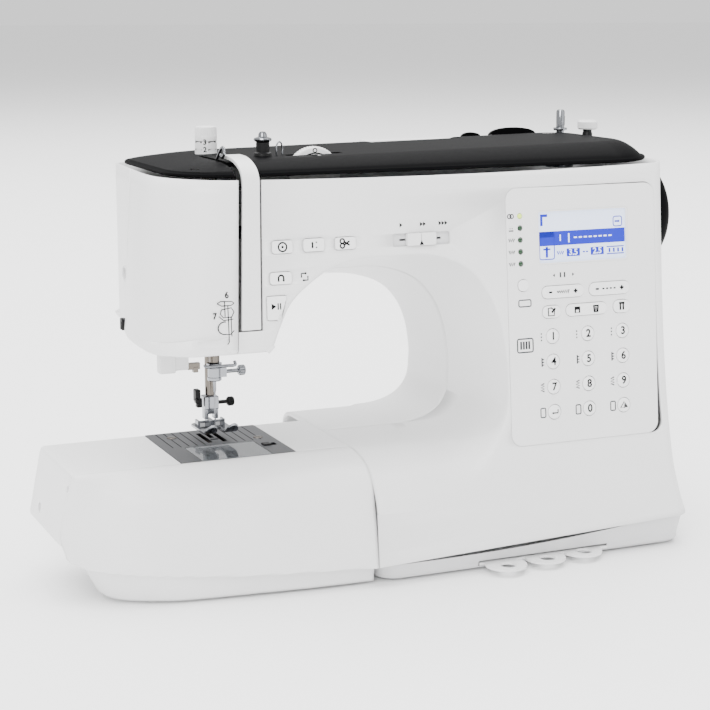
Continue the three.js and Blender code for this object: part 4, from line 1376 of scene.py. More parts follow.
def panel_marks(name: str, x: float, z: float) -> list:
    """The marks on one key of the panel.

    Args:
        name: the key's node.
        x: the marks' middle.
        z: the marks' middle.

    Returns:
        The outlines of the marks.
    """
    minus = line([(x - 9.6, z), (x - 7.4, z)], 0.55)
    upright = [(x + 8.5, z - 1.3), (x + 8.5, z + 1.3)]
    plus = [line([(x + 7.2, z), (x + 9.8, z)], 0.55), line(upright, 0.55)]
    if name == "width_rocker":
        t = np.linspace(0, 1, 13)
        wave = np.c_[x - 4 + 8 * t, z + 1.1 * (1 - 2 * (np.arange(13) % 2)) * (0.4 + 0.6 * t)]
        return [minus, *plus, line(wave, 0.4)]
    if name == "length_rocker":
        dashes = [line([(x - 5 + k * 2.6, z), (x - 3.6 + k * 2.6, z)], 0.45) for k in range(4)]
        return [minus, *plus, *dashes]
    if name == "edit_key":
        corners = ((-2, -2), (1.4, -2), (1.4, 0.6), (-0.4, 2), (-2, 2))
        sheet = [(x + dx, z + dz) for dx, dz in corners]
        return [line(sheet, 0.4, True), line([(x, z - 0.4), (x + 2.4, z + 2)], 0.6)]
    if name == "memory_rocker":
        left, right = x - 6.4, x + 6.4
        disc = rounded_rectangle(left - 1.9, left + 1.9, z - 1.9, z + 1.9, 0.3, 3)
        label = rounded_rectangle(left - 1, left + 1, z - 1.6, z, 0.1, 2)
        sides = ((-1.5, 1.2), (-1.2, -2), (1.2, -2), (1.5, 1.2))
        bin_side = line([(right + dx, z + dz) for dx, dz in sides], 0.5)
        lid = line([(right - 2, z + 1.6), (right + 2, z + 1.6)], 0.5)
        ribs = [line([(right + k, z + 0.9), (right + k, z - 1.6)], 0.35) for k in (-0.5, 0.5)]
        return [[disc, label[::-1]], bin_side, lid, *ribs]
    if name == "twin_needle_key":
        legs = [
            [rounded_rectangle(x + k - 0.55, x + k + 0.55, z - 2.2, z + 1.6, 0.2, 3)]
            for k in (-1, 1)
        ]
        return [*legs, line([(x - 1.9, z + 2), (x + 1.9, z + 2)], 0.6)]
    return []


@dataclass
class ControlFace:
    """Buttons, speed slider, panel, display and keys on the leaning front."""

    panel: tuple[float, float, float, float] = (58.7, 159.7, 73.7, 225.0)
    window: tuple[float, float, float, float] = (79.3, 141.1, 179.5, 211.5)
    slide: tuple[float, float, float, float] = (-14.0, 22.3, 195.0, 202.6)
    lamp_x: float = 67.8
    lamp_z: tuple[float, ...] = (208.8, 201.8, 194.9, 188.0, 181.0)
    number_x: tuple[float, float, float] = (87.7, 111.7, 135.7)
    number_top: float = 137.2
    pitch: float = 15.0
    key_round: float = 4.3

    buttons: tuple[Key, ...] = (
        Key("needle_stop_button", -87.1, -75.1, 195.2, 202.2, 1.6),
        Key("needle_position_button", -68.5, -56.1, 195.3, 202.4, 1.6),
        Key("thread_cutter_button", -49.5, -37.1, 195.4, 202.2, 1.6),
        Key("reverse_button", -89.0, -76.4, 178.3, 184.9, 1.6),
        Key("start_stop_button", -91.4, -79.6, 158.9, 171.9, 0.9, 4.4),
    )
    keys: tuple[Key, ...] = (
        Key("stitch_mode_key", 65.4, 72.2, 164.9, 171.7, 3.2),
        Key("width_rocker", 81.2, 109.2, 159.6, 166.8, 3.4),
        Key("length_rocker", 113.2, 140.9, 159.4, 167.1, 3.6),
        Key("edit_key", 81.2, 93.2, 148.1, 155.3, 3.4),
        Key("memory_rocker", 97.1, 124.8, 148.3, 155.3, 3.3),
        Key("twin_needle_key", 129.6, 141.0, 148.1, 155.7, 3.6),
    )

    def number_heights(self) -> list[float]:
        """The heights of the four rows of round keys."""
        return [self.number_top - row * self.pitch for row in range(4)]

    def cover_holes(self) -> list[np.ndarray]:
        """The holes that the front cover needs."""
        x0, x1, z0, z1 = self.panel
        gap = 0.22
        around = rounded_rectangle(x0 - gap, x1 + gap, z0 - gap, z1 + gap, 7.2, 10)
        slide = rounded_rectangle(*self.slide, 1.2)
        return [around, slide] + [key.hole() for key in self.buttons]

    def build_buttons(self) -> None:
        """The five buttons and the turning-square mark beside them."""
        for key in self.buttons:
            key.build(front_marks(key.node, *key.centre))
        x, z, s = -68.4, 181.6, 1.9
        corners = [
            line([(x - s, z - 0.4), (x - s, z + s), (x + 0.4, z + s)], 0.4),
            line([(x + s, z + 0.4), (x + s, z - s), (x - 0.4, z - s)], 0.4),
            arrow(x + 0.4, z + s, 1, 0, 1.1),
            arrow(x - 0.4, z - s, -1, 0, 1.1),
        ]
        publish("lock_stitch_mark", on_front(merged(ink(corners, 0.0))), INK, "machine")

    def build_slider(self) -> None:
        """The speed slider's well, its knob and the marks above."""
        x0, x1, z0, z1 = self.slide
        lip = rounded_rectangle(x0 + 0.02, x1 - 0.02, z0 + 0.02, z1 - 0.02, 1.2)
        slot = rounded_rectangle(-9, 17.3, 198.2, 199.4, 0.5)
        floor = rounded_rectangle(x0 + 0.3, x1 - 0.3, z0 + 0.3, z1 - 0.3, 1.0)
        well = [plate([lip, floor], 0.15, 2.6), plate([lip, slot], 1.9, 2.6)]
        # The well is in the greyer base ABS, whose greyness paints in the shade inside the pocket.
        publish("slider_well", on_front(merged(well)), BASE_ABS, "machine", bevel=0.1)
        knob = []
        for left, right in ((-5.3, 3.2), (3.6, 12.7)):
            outline = rounded_rectangle(left, right, 195.3, 202.3, 0.8)
            knob.append(plate([outline], -1.6, 1.4))
        knob.append(plate([rounded_rectangle(2.8, 4.2, 195.6, 202, 0.3, 3)], -0.3, 1.4))
        knob.append(plate([rounded_rectangle(1, 6, 197.6, 200, 0.3, 3)], 1.0, 6.5))
        publish(
            "speed_knob", on_front(merged(knob)), WHITE_ABS, "speed", ["speed_slider"], bevel=0.5
        )
        notch = [np.array([(2.1, 195.6), (3.4, 198.2), (4.7, 195.6)])]
        publish("speed_knob_notch", on_front(merged(ink([notch], -1.6))), INK, "speed")
        heads = []
        for count, x in ((1, -9.4), (2, 3.4), (3, 15.2)):
            heads += [arrow(x + 1.9 * k, 207.2, 1, 0, 1.8) for k in range(count)]
        publish("speed_marks", on_front(merged(ink(heads, 0.0))), INK, "machine")

    def build_panel(self) -> None:
        """The panel plate with a hole for each key, and its printed marks."""
        x0, x1, z0, z1 = self.panel
        rim = rounded_rectangle(x0, x1, z0, z1, 7, 10)
        holes = [rounded_rectangle(*self.window, 2)] + [key.hole() for key in self.keys]
        for x in self.number_x:
            holes += [circle(x, z, self.key_round + 0.35) for z in self.number_heights()]
        lamps = [(self.lamp_x, z) for z in self.lamp_z]
        holes += [circle(x, z, 1.7, 20) for x, z in lamps]
        panel = on_front(plate([rim, *holes], -0.1, 2.0))
        publish("panel_plate", panel, WHITE_ABS, "machine", ["control_panel"], bevel=0.25)
        dome = [(0, -0.9), (0.8, -0.7), (1.35, -0.1), (1.45, 1.5), (0, 1.5)]
        for number, (x, z) in enumerate(lamps):
            finish = LED_OFF if number else LED_LIT
            lamp = on_front(lathe(dome, (x, 0, z), "y", 20))
            publish(f"stitch_lamp_{number + 1}", lamp, finish, "machine")
        for key in self.keys:
            key.build(panel_marks(key.node, *key.centre))
        self.build_numbers()
        publish("panel_print", on_front(merged(ink(self.print_marks(), -0.1))), FINE_INK, "machine")

    def build_numbers(self) -> None:
        """Three mouldings of four round keys, with their figures."""
        cap = [(0, -0.95), (2.6, -0.93), (3.6, -0.8), (4.15, -0.4), (4.3, 0.2), (4.3, 5), (0, 5)]
        names = [["1", "4", "7", ""], ["2", "5", "8", "0"], ["3", "6", "9", ""]]
        for column, x in enumerate(self.number_x):
            body = f"number_keys_{column + 1}_body"
            caps = [lathe(cap, (x, 0, z), "y", 40) for z in self.number_heights()]
            web = plate([rounded_rectangle(x - 3, x + 3, 88, 141, 1)], 4.7, 6.1)
            publish(
                f"number_caps_{column + 1}", on_front(merged([*caps, web])), KEY_PBT, body,
                [f"number_keys_{column + 1}"],
            )
            marks = []
            for text, z in zip(names[column], self.number_heights()):
                if text:
                    marks.append(moved(figure(text, x, z, 4.6), (0, -0.99, 0)))
            foot = self.number_heights()[3]
            if column == 0:
                hook = [(x + 1.9, foot + 1.4), (x + 1.9, foot - 0.6), (x - 1.4, foot - 0.6)]
                marks += ink([line(hook, 0.4), arrow(x - 1.2, foot - 0.6, -1, 0, 1.1)], -0.96)
            if column == 2:
                half = [(x - 2.4, foot - 1.5), (x - 0.3, foot - 1.5), (x - 0.3, foot + 1.7)]
                other = [(x + 0.3, foot - 1.5), (x + 2.4, foot - 1.5), (x + 0.3, foot + 1.7)]
                marks += ink([line(half, 0.35, True), [np.array(other)]], -0.96)
            publish(f"number_print_{column + 1}", on_front(merged(marks)), INK, body)

    def print_marks(self) -> list:
        """Small stitch signs beside the lamps and the number keys, and ring marks."""
        marks = []
        for row, z in enumerate(self.lamp_z):
            t = np.arange(7)
            if row == 0:
                marks += [line(circle(61.8 + k, z, 0.9, 12), 0.3, True) for k in (-0.9, 0.7)]
            elif row == 1:
                marks += [[circle(61.2 + 1.4 * k, z, 0.35, 8)] for k in (0, 1)]
                marks += [line([(60.4, z - 1.4), (63.4, z - 1.4)], 0.35)]
            else:
                marks.append(line(np.c_[60.2 + 0.6 * t, z + 0.9 * (1 - 2 * (t % 2))], 0.35))
        for x in self.number_x:
            for row, z in enumerate(self.number_heights()):
                side = x - 7.6
                t = np.arange(7)
                if row % 4 == 0:
                    lows = [z - 2.4 + k for k in (0, 1.9, 3.8)]
                    marks += [line([(side, low), (side, low + 0.9)], 0.4) for low in lows]
                elif row % 4 == 1:
                    marks.append(line([(side, z - 2.6), (side, z + 2.6)], 0.4))
                    highs = [z + k for k in (-1.6, 0, 1.6)]
                    marks += [line([(side, high), (side + 1.4, high)], 0.35) for high in highs]
                elif row % 4 == 2:
                    zigzag = np.c_[side + 1.1 * (1 - 2 * (t % 2)), z - 2.4 + 0.8 * t]
                    marks.append(line(zigzag, 0.4))
                else:
                    box = rounded_rectangle(side - 1.3, side + 1.3, z - 2.4, z + 2.4, 0.3, 3)
                    marks.append(line(box, 0.35, True))
        sign = rounded_rectangle(64.4, 74, 129.4, 136.6, 0.6, 3)
        marks.append(line(sign, 0.4, True))
        marks += [line([(66.4 + k, 130.8), (66.4 + k, 135.4)], 0.6) for k in (0, 1.8, 3.6, 5.4)]
        marks += [line([(x, 171.6), (x, 174.6)], 0.5) for x in (94, 96.8)]
        marks += [arrow(90.2, 173, -1, 0, 1.4), arrow(102, 173, 1, 0, 1.4)]
        tag = rounded_rectangle(66, 73.4, 156.2, 159.4, 0.4, 3)
        marks.append(line(tag, 0.35, True))
        return marks

    def build_display(self) -> None:
        """The display: a bezel, the lit field and what it shows."""
        x0, x1, z0, z1 = self.window
        rim = rounded_rectangle(x0 + 0.05, x1 - 0.05, z0 + 0.05, z1 - 0.05, 1.95)
        inner = rounded_rectangle(x0 + 1.1, x1 - 1.1, z0 + 1.1, z1 - 1.1, 1.0)
        publish("display_bezel", on_front(plate([rim, inner], 0.1, 2.8)), WHITE_ABS, "machine")
        field = plate([rounded_rectangle(x0 + 0.6, x1 - 0.6, z0 + 0.6, z1 - 0.6, 1)], 1.2, 2.8)
        publish("display_field", on_front(field), LCD_FIELD, "machine", ["lcd_window"])
        a, b = x0 + 1.1, z1 - 1.1
        width = x1 - x0 - 2.2

        def box(left: float, right: float, high: float, low: float) -> list[np.ndarray]:
            """A filled box, measured right and down from the field's upper left corner."""
            return [rounded_rectangle(a + left, a + right, b - low, b - high, 0.15, 2)]

        band = box(0.4, width - 0.4, 11.6, 20.0)
        dark = [box(1.6, 3.2, 1.4, 8.2), box(3.2, 6.4, 1.4, 3.0), band]
        icon = rounded_rectangle(a + width - 8, a + width - 2.6, b - 10.2, b - 5, 0.9, 3)
        dark += [line(icon, 0.3, True)]
        dark += [line([(a + width - 7.2, b - 7.6), (a + width - 4.4, b - 7.6)], 0.5)]
        dark += [arrow(a + width - 4.8, b - 7.6, 1, 0, 1.2)]
        foot_window = rounded_rectangle(a + 1, a + 10.4, b - 27.6, b - 12.6, 0.9, 3)
        dark += [line(foot_window, 0.3, True), box(1, 10.4, 11.6, 15)]
        dark += [line([(a + 5.6, b - 20.5), (a + 5.6, b - 26.8)], 0.8)]
        dark += [line([(a + 3.2, b - 22), (a + 8, b - 22)], 0.5)]
        t = np.arange(7)
        zig = np.c_[a + 12.6 + 0.7 * t, b - 24.4 + 0.9 * (1 - 2 * (t % 2))]
        dark += [line(zig, 0.4), box(19, 28, 22.2, 26.8)]
        dark += [line([(a + 30 + k, b - 24.6), (a + 31.4 + k, b - 24.6)], 0.4) for k in (0, 2.2)]
        dark += [box(35.4, 44.4, 22.2, 26.8)]
        dark += [box(46.4, 58.4, 22.2, 22.8), box(46.4, 58.4, 26.4, 27)]
        publish("display_segments", on_front(merged(ink(dark, 1.2))), LCD_DARK, "machine")
        starts = [a + 24 + 3.4 * k for k in range(8)]
        light = [line([(start, b - 15.8), (start + 2.2, b - 15.8)], 0.45) for start in starts]
        light += [line([(a + 20.6, b - 13.2), (a + 20.6, b - 18.6)], 0.5)]
        figures = [("1", 14.8, 15.8), ("3.5", 23.4, 24.5), ("2.5", 39.9, 24.5)]
        marks = ink(light, 1.1) + [
            moved(figure(text, a + fx, b - fz, 3.6), (0, 1.08, 0)) for text, fx, fz in figures
        ]
        publish("display_light_segments", on_front(merged(marks)), LCD_FIELD, "machine")
        places = [a + 48.4 + 3 * k for k in range(4)]
        below = [line([(place, b - 23.4), (place, b - 25.8)], 0.6) for place in places]
        publish("display_small_segments", on_front(merged(ink(below, 1.2))), LCD_DARK, "machine")

    def build(self) -> None:
        """Everything on the front."""
        self.build_buttons()
        self.build_slider()
        self.build_panel()
        self.build_display()


# ---- Threading and the top --------------------------------------------------------------


def knurled(
    profile: Sequence[Point2],
    centre: Sequence[float],
    axis: str,
    ribs: int,
    cut: float,
    rows: tuple[int, int],
) -> Mesh:
    """A turned piece with straight ribs.

    On the ribbed rows the radius is r + cut tanh(2.2 sin(ribs angle)), which flattens its peaks.

    Args:
        profile: radius and height of each point.
        centre: a point on the axis.
        axis: "x", "y" or "z".
        ribs: how many ribs go round.
        cut: half the ribs' height.
        rows: the first ribbed row and the one after the last.

    Returns:
        The turned surface.
    """
    sides = ribs * 6
    points, faces = lathe(profile, centre, axis, sides)
    table = points.reshape(len(profile), sides, 3)
    wave = np.tanh(2.2 * np.sin(ribs * np.linspace(0, 2 * math.pi, sides, endpoint=False)))
    middle = np.array(centre, float)
    along = {"x": 0, "y": 1, "z": 2}[axis]
    for row in range(*rows):
        offset = table[row] - middle
        offset[:, along] = 0
        radius = np.linalg.norm(offset, axis=1)[:, None]
        table[row] += offset / np.maximum(radius, 1e-6) * cut * wave[:, None]
    return table.reshape(-1, 3), faces


def round_post(mesh: Mesh, centre: Point2, radius: float, facing: float) -> Mesh:
    """Bends a flat mark round an upright post: its X becomes an angle, its depth a radius.

    Args:
        mesh: the flat mark.
        centre: the post's X and Y.
        radius: the post's radius.
        facing: the angle, in degrees, that X = 0 goes to.

    Returns:
        The bent mark.
    """
    x, depth, z = np.asarray(mesh[0], float).T
    angle = math.radians(facing) + x / radius
    reach = radius - depth
    return np.c_[centre[0] + reach * np.cos(angle), centre[1] + reach * np.sin(angle), z], mesh[1]


@dataclass
class TopFittings:
    """What stands on the lid, and the thread path down the head."""

    presser: Point2 = (-95.65, 28.5)
    dial: tuple[float, float, float] = (-44.4, -12.0, 233.6)
    post: Point2 = (-73.8, -8.0)
    winder: Point2 = (155.3, 51.4)
    strip_rise: float = 0.25  # how far the thread strip stands out of the front

    def thread_strip(self) -> None:
        """The white strip between the slots: a thick ribbon over the lid's edge and down."""
        over_lid = [(-22.2, 247.6), (-34, 247), (-43, 244.8), (-49.6, 241.4), (-53, 236.6)]
        down_face = [
            (Covers.front - Covers.lean * (Covers.top - z) - self.strip_rise, z)
            for z in (230, 224, 205, 180, 154.2)
        ]
        path = spline(over_lid + down_face, 60)
        step = np.gradient(path, axis=0)
        step /= np.linalg.norm(step, axis=1)[:, None]
        inner = path + np.c_[-step[:, 1], step[:, 0]] * 2.2
        left = -102.5 - 0.05 * np.clip(232 - path[:, 1], 0, None)
        right = -92.5 - 0.035 * np.clip(Covers.top - path[:, 1], 0, None)
        ring = np.stack(
            [np.c_[left, path], np.c_[right, path], np.c_[right, inner], np.c_[left, inner]], axis=1
        )
        points, faces = grid(ring, wrap_columns=True)
        last = len(points) - 4
        strip = points, faces + [[0, 1, 2, 3], [last, last + 1, last + 2, last + 3]]
        publish("thread_strip_cover", strip, WHITE_ABS, "machine", ["thread_strip"], bevel=0.5)

    def take_up(self) -> None:
        """The take-up lever: a bent wire with an open eye, on its hub."""
        x = -104.4
        bend = spline(
            [(8, 205), (2, 222), (-10, 238), (-19, 247), (-24, 251), (-28, 251.6), (-29, 248.6),
             (-26, 246.6), (-22.6, 247.4)],
            70,
        )
        wire = tube(np.c_[np.full(len(bend), x), bend], 1.15, 16)
        wire[0][:, 0] = x + (wire[0][:, 0] - x) * 0.62
        hub = [(0, -0.7), (3.6, -0.7), (4, -0.3), (4, 4.6), (3.6, 5), (0, 5)]
        lever = merged([wire, lathe(hub, (x, 8, 205), "x", 32)])
        publish("take_up_wire", lever, CHROME, "take_up", ["take_up_lever"], closed=True)

    def dials(self) -> None:
        """The pressure dial, the tension dial and their figures."""
        x, y = self.presser
        shape = [
            (0, 243.5), (6.1, 243.5), (6.5, 244), (6.5, 250.6), (6.2, 251), (6.2, 251.6),
            (6.5, 252), (6.5, 254.4), (6.3, 254.8), (6.3, 258.4), (6.0, 259.8), (4.6, 260.3),
            (0, 260.3),
        ]
        dial = knurled(shape, (x, y, 0), "z", 34, 0.17, (8, 10))
        publish("pressure_knob", dial, WHITE_ABS, "pressure", ["pressure_dial"])
        marks = []
        for text, z in (("3", 251.2), ("2", 246.8)):
            marks.append(moved(figure(text, 0, z, 3.0), (0, -0.03, 0)))
            for side in (-1, 1):
                ring = np.c_[np.linspace(1.9, 7.4, 8) * side, np.full(8, z)]
                marks += ink([line(ring, 0.45)], 0.0)
        publish(
            "pressure_figures", round_post(merged(marks), (x, y), 6.5, 246), INK, "pressure",
            closed=False,
        )
        half = [(14.2, 3.0), (15.4, 2.6), (16, 1.8)]
        rim = [(0, -3.0), *((r, -h) for r, h in half), *half[::-1], (0, 3.0)]
        wheel = knurled(rim, self.dial, "y", 60, 0.16, (3, 5))
        publish("tension_wheel", wheel, WHITE_ABS, "tension", ["tension_dial"])
        cx, cy, cz = self.dial
        lines = [line(arc(cx, cz, 12.4, 40, 140, 40), 0.4)]
        lines.append(line(circle(cx, cz + 14, 0.9, 14), 0.3, True))
        figures = []
        for number, angle in zip("23456", np.radians((150, 120, 90, 60, 30))):
            mark = figure(number, cx + 9.9 * math.cos(angle), cz + 9.9 * math.sin(angle), 2.6)
            figures.append(moved(mark, (0, -3.02, 0)))
        print_on = merged([*ink(lines, -3.0), *figures])
        publish("tension_figures", moved(print_on, (0, cy, 0)), INK, "tension")
        pointer = [np.array([(cx, 0.0), (cx - 1.3, -3), (cx + 1.3, -3)])]
        mark = laid_flat(plate(pointer, 0, 0.12))
        publish("tension_pointer", moved(mark, (0, -19.5, 245.3)), WHITE_ABS, "machine")

    def posts(self) -> None:
        """The pretension post, the wire guide, the winder spindle."""
        x, y = self.post
        post = [(0, 245), (5.2, 245), (5.0, 246.6), (3.9, 247.2), (3.9, 252.6), (0, 252.8)]
        cap = [(0, 252.4), (3.4, 252.6), (5.0, 253.6), (5.2, 254.4), (4.9, 255.1), (2.6, 255.8),
               (2.4, 257.4), (1.6, 258.6), (0, 258.9)]
        turned = lathe(post, (x, y, 0), "z", 40)
        publish("pretension_post", turned, BLACK_POM, "machine", ["pretension_guide"])
        publish("pretension_cap", lathe(cap, (x, y, 0), "z", 40), CHROME, "machine")
        hoop = spline([(x + 8, y - 1, 245), (x + 8, y - 1, 250), (x + 9.5, y, 252.4),
                       (x + 11.5, y + 1, 252), (x + 12.5, y + 1.4, 249), (x + 12.5, y + 1.4, 245)], 40)
        publish("guide_wire", tube(hoop, 0.5), CHROME, "machine")
        x, y = self.winder
        spindle = [
            (0, 226), (9, 226), (9, 233.6), (2.6, 234), (2.6, 249.4), (4.4, 249.6), (4.6, 250.4),
            (4.4, 251.2), (2.75, 251.4), (2.75, 261.6), (2.3, 262.6), (1.4, 263), (0, 263),
        ]
        turned = lathe(spindle, (x, y, 0), "z", 40)
        publish("winder_pin", turned, CHROME, "winder", ["winder_spindle"])
        blade = rounded_box((x + 2.3, x + 3.2), (y - 0.5, y + 0.5), (252.6, 258.8))
        publish("winder_spring", blade, BLACK_POM, "winder", bevel=0.2)

    def handle_and_pin(self) -> None:
        """The carrying handle in its well, and the spool pin in its own."""
        grip = rounded_box((20, 76), (60, 70), (239.2, 246.4))
        arms = [rounded_box((x, x + 8), (46, 62), (239.2, 243.6)) for x in (20.0, 68.0)]
        publish(
            "handle_grip", merged([grip, *arms]), WHITE_ABS, "handle", ["carry_handle"], bevel=1.4
        )
        pin = [
            (0, 107), (4.0, 107), (4.4, 107.6), (4.4, 109.4), (4.0, 110), (2.6, 110.6),
            (2.6, 142), (0, 142),
        ]
        hinge = [(0, -6), (3.4, -6), (3.8, -5.6), (3.8, 5.6), (3.4, 6), (0, 6)]
        both = merged([lathe(pin, (0, 60, 243), "x", 32), lathe(hinge, (142, 60, 243), "y", 32)])
        publish("spool_rod", both, BLACK_POM, "spool", ["spool_pin"])

    def build(self) -> None:
        """All of it."""
        self.thread_strip()
        self.take_up()
        self.dials()
        self.posts()
        self.handle_and_pin()


@dataclass
class Handwheel:
    """The black domed handwheel."""

    x: float = 180.0
    y: float = 19.5
    z: float = 198.0

    def build(self) -> None:
        """Turns its domed profile about the shaft."""
        profile = [
            (0, -3.5), (20, -3.5), (26.8, -1), (31, 1.6), (33.8, 4.4), (34.5, 8), (34.3, 12.4),
            (33.2, 16.4), (31, 19.6), (27.6, 22), (23, 23.4), (16, 24.1), (9, 24.25), (0, 24.25),
        ]
        smooth = spline(profile[1:-1], 70)
        shape = [profile[0], *map(tuple, smooth), profile[-1]]
        wheel = lathe(shape, (self.x, self.y, self.z), "x", 96)
        publish("handwheel_dome", wheel, BLACK_ABS, "wheel", ["handwheel"])


# ---- The needle area --------------------------------------------------------------------


@dataclass
class NeedleArea:
    """The bars, clamp, needle, foot, threader, plate, feed and bobbin cover."""

    x: float = -95.65
    y: float = 19.5
    presser_y: float = 28.5

    def bars(self) -> None:
        """The needle bar with its clamp, screw and needle, and the presser bar."""
        x, y = self.x, self.y
        bar = [(0, 121), (2.9, 121), (3.2, 121.4), (3.2, 234.6), (2.9, 235), (0, 235)]
        rod = lathe(bar, (x, y, 0), "z")
        publish("needle_bar_rod", rod, NICKEL, "needle_slide", ["needle_bar"])
        sleeve = [(0, 110), (3.9, 110), (4.3, 110.5), (4.3, 112), (4.0, 112.4), (4.0, 117.6),
                  (4.3, 118), (4.3, 118.9), (0, 119)]
        block = carve(
            merged([
                lathe(sleeve, (x, y, 0), "z", 40),
                rounded_box((x, x + 6.8), (16.6, 22.4), (112.2, 117.8)),
            ]),
            [lathe([(0, 100), (1.15, 100), (1.15, 114), (0, 114)], (x, y, 0), "z", 20),
             lathe([(0, -93.1), (1.5, -93.1), (1.5, -80), (0, -80)], (0, y, 115), "x", 20)],
        )
        ring = [(0, 118.8), (4.3, 118.8), (4.6, 119.2), (4.6, 120.6), (0, 120.8)]
        collar = lathe(ring, (x, y, 0), "z")
        path = spline([(x + 11.6, 16.4, 121.4), (x + 11.4, 14.8, 119.4), (x + 6, 14.4, 119.4),
                       (x - 2, 14.6, 119.4), (x - 6.4, 15.6, 119.4), (x - 6.6, 17.6, 119.8)], 60)
        clamp = merged([block, collar, tube(path, 0.95)])
        publish(
            "needle_clamp_block", clamp, CHROME, "needle_slide", ["needle_clamp"], bevel=0.35,
            closed=False,
        )
        screw = [(0, -92.6), (1.2, -92.6), (1.2, -81.2), (2.2, -81), (2.2, -80.6), (2.9, -80.4),
                 (3, -80), (3, -77.2), (2.6, -76.6), (0, -76.4)]
        publish(
            "clamp_thumbscrew", knurled(screw, (0, y, 115), "x", 20, 0.18, (6, 8)), CHROME,
            "needle_screw", ["clamp_screw"],
        )
        needle = [
            (0, 81.8), (0.12, 82.2), (0.42, 86), (0.45, 101), (0.55, 102.4), (0.95, 104),
            (0.98, 113.4), (0, 113.5),
        ]
        shank = lathe(needle, (x, y, 0), "z", 20)
        publish("needle_shank", shank, CHROME, "needle_slide", ["needle"])
        presser = [(0, 99.4), (2.7, 99.4), (3, 99.8), (3, 242.6), (2.7, 243), (0, 243)]
        rod = lathe(presser, (x, self.presser_y, 0), "z")
        publish("presser_rod", rod, NICKEL, "presser", ["presser_bar"])

    def foot(self) -> None:
        """The foot's holder, screw, release lever and the foot itself."""
        x, y = self.x, self.presser_y
        holder = [
            rounded_box((x - 4.4, x + 4.4), (24.9, 33), (91, 99)),
            rounded_box((x - 4.4, x - 1.8), (26, 31), (84.9, 92)),
            rounded_box((x + 1.8, x + 4.4), (26, 31), (84.9, 92)),
            rounded_box((x - 3.2, x + 3.2), (25.6, 32.2), (88, 92)),
        ]
        publish("foot_holder_block", merged(holder), CHROME, "presser", ["foot_holder"], bevel=0.5)
        screw = [(0, -93.1), (1.2, -93.1), (1.2, -85.2), (2.0, -85), (2.6, -84.4), (2.7, -84),
                 (2.7, -81.6), (2.3, -80.8), (0, -80.6)]
        publish(
            "foot_thumbscrew", knurled(screw, (0, y, 94.4), "x", 20, 0.2, (5, 7)), BLACK_POM,
            "holder_screw", ["foot_screw"],
        )
        lever = [
            rounded_box((-105.4, -102.2), (26, 31.6), (96, 103.4)),
            rounded_box((-104.2, -101), (27, 31), (92.2, 98)),
            rounded_box((-106.2, -103.6), (23.4, 27.4), (95.6, 98.2)),
        ]
        publish(
            "foot_release_lever", merged(lever), BLACK_POM, "foot_catch", ["foot_release"],
            bevel=0.6,
        )
        self.sole()

    def sole(self) -> None:
        """The foot: a flat sole with a needle slot, two toes that curl up, and its cross pin.

        Ahead of 13 mm the sole rises by 0.07 (13 - y)^2.
        """
        x = self.x
        half = 10.2
        turn = np.radians(np.linspace(180, 360, 9))
        toes = []
        for left, right in ((x - half, x - 2.9), (x + 2.9, x + half)):
            middle, r = (left + right) / 2, (right - left) / 2
            toes.append(np.c_[middle + r * np.cos(turn), 7.6 + r * np.sin(turn)])
        heel = [(x + half, 34.8), (x + half - 2, 36.8), (x - half + 2, 36.8), (x - half, 34.8)]
        slot = [(x - 2.9, 15), (x - 3.2, 18.4), (x - 3.2, 21), (x - 2.2, 22), (x + 2.2, 22),
                (x + 3.2, 21), (x + 3.2, 18.4), (x + 2.9, 15)]
        outline = np.vstack([toes[0], slot, toes[1], heel])
        dense = []
        for a, b in zip(outline, np.roll(outline, -1, axis=0)):
            n = max(1, int(np.linalg.norm(b - a) / 1.2))
            dense.append(a + (b - a) * np.linspace(0, 1, n, endpoint=False)[:, None])
        points, faces = laid_flat(plate([np.vstack(dense)], 79.4, 81.0))
        points[:, 2] += 0.07 * np.clip(13 - points[:, 1], 0, None) ** 2
        saddle = [rounded_box((x - 1.6, x + 1.6), (25, 34.6), (80.8, 84.1))]
        saddle += [rounded_box((x + s, x + s + 1.4), (26.4, 32.4), (80.8, 84.3)) for s in (-8.6, 7.2)]
        pin = lathe([(0, -8.2), (0.75, -8.2), (0.75, 8.2), (0, 8.2)], (x, 29.4, 82.9), "x", 16)
        publish(
            "presser_foot_sole", merged([(points, faces), *saddle, pin]), CHROME, "foot",
            ["presser_foot"], bevel=0.25,
        )

    def threader(self) -> None:
        """The white threader lever and its small hooked carrier."""
        lever = [
            rounded_box((-132.6, -122.6), (9, 15.6), (118.4, 150)),
            rounded_box((-124, -114.4), (10, 14.2), (119.6, 129)),
        ]
        publish(
            "threader_lever", merged(lever), WHITE_ABS, "threader", ["needle_threader"], bevel=1.1
        )
        carrier = [
            rounded_box((-115, -107.4), (10.6, 13.6), (119.4, 123.4)),
            rounded_box((-111.6, -108.6), (10.4, 13.8), (117.6, 121)),
        ]
        publish("threader_carrier", merged(carrier), NICKEL, "threader", bevel=0.3)

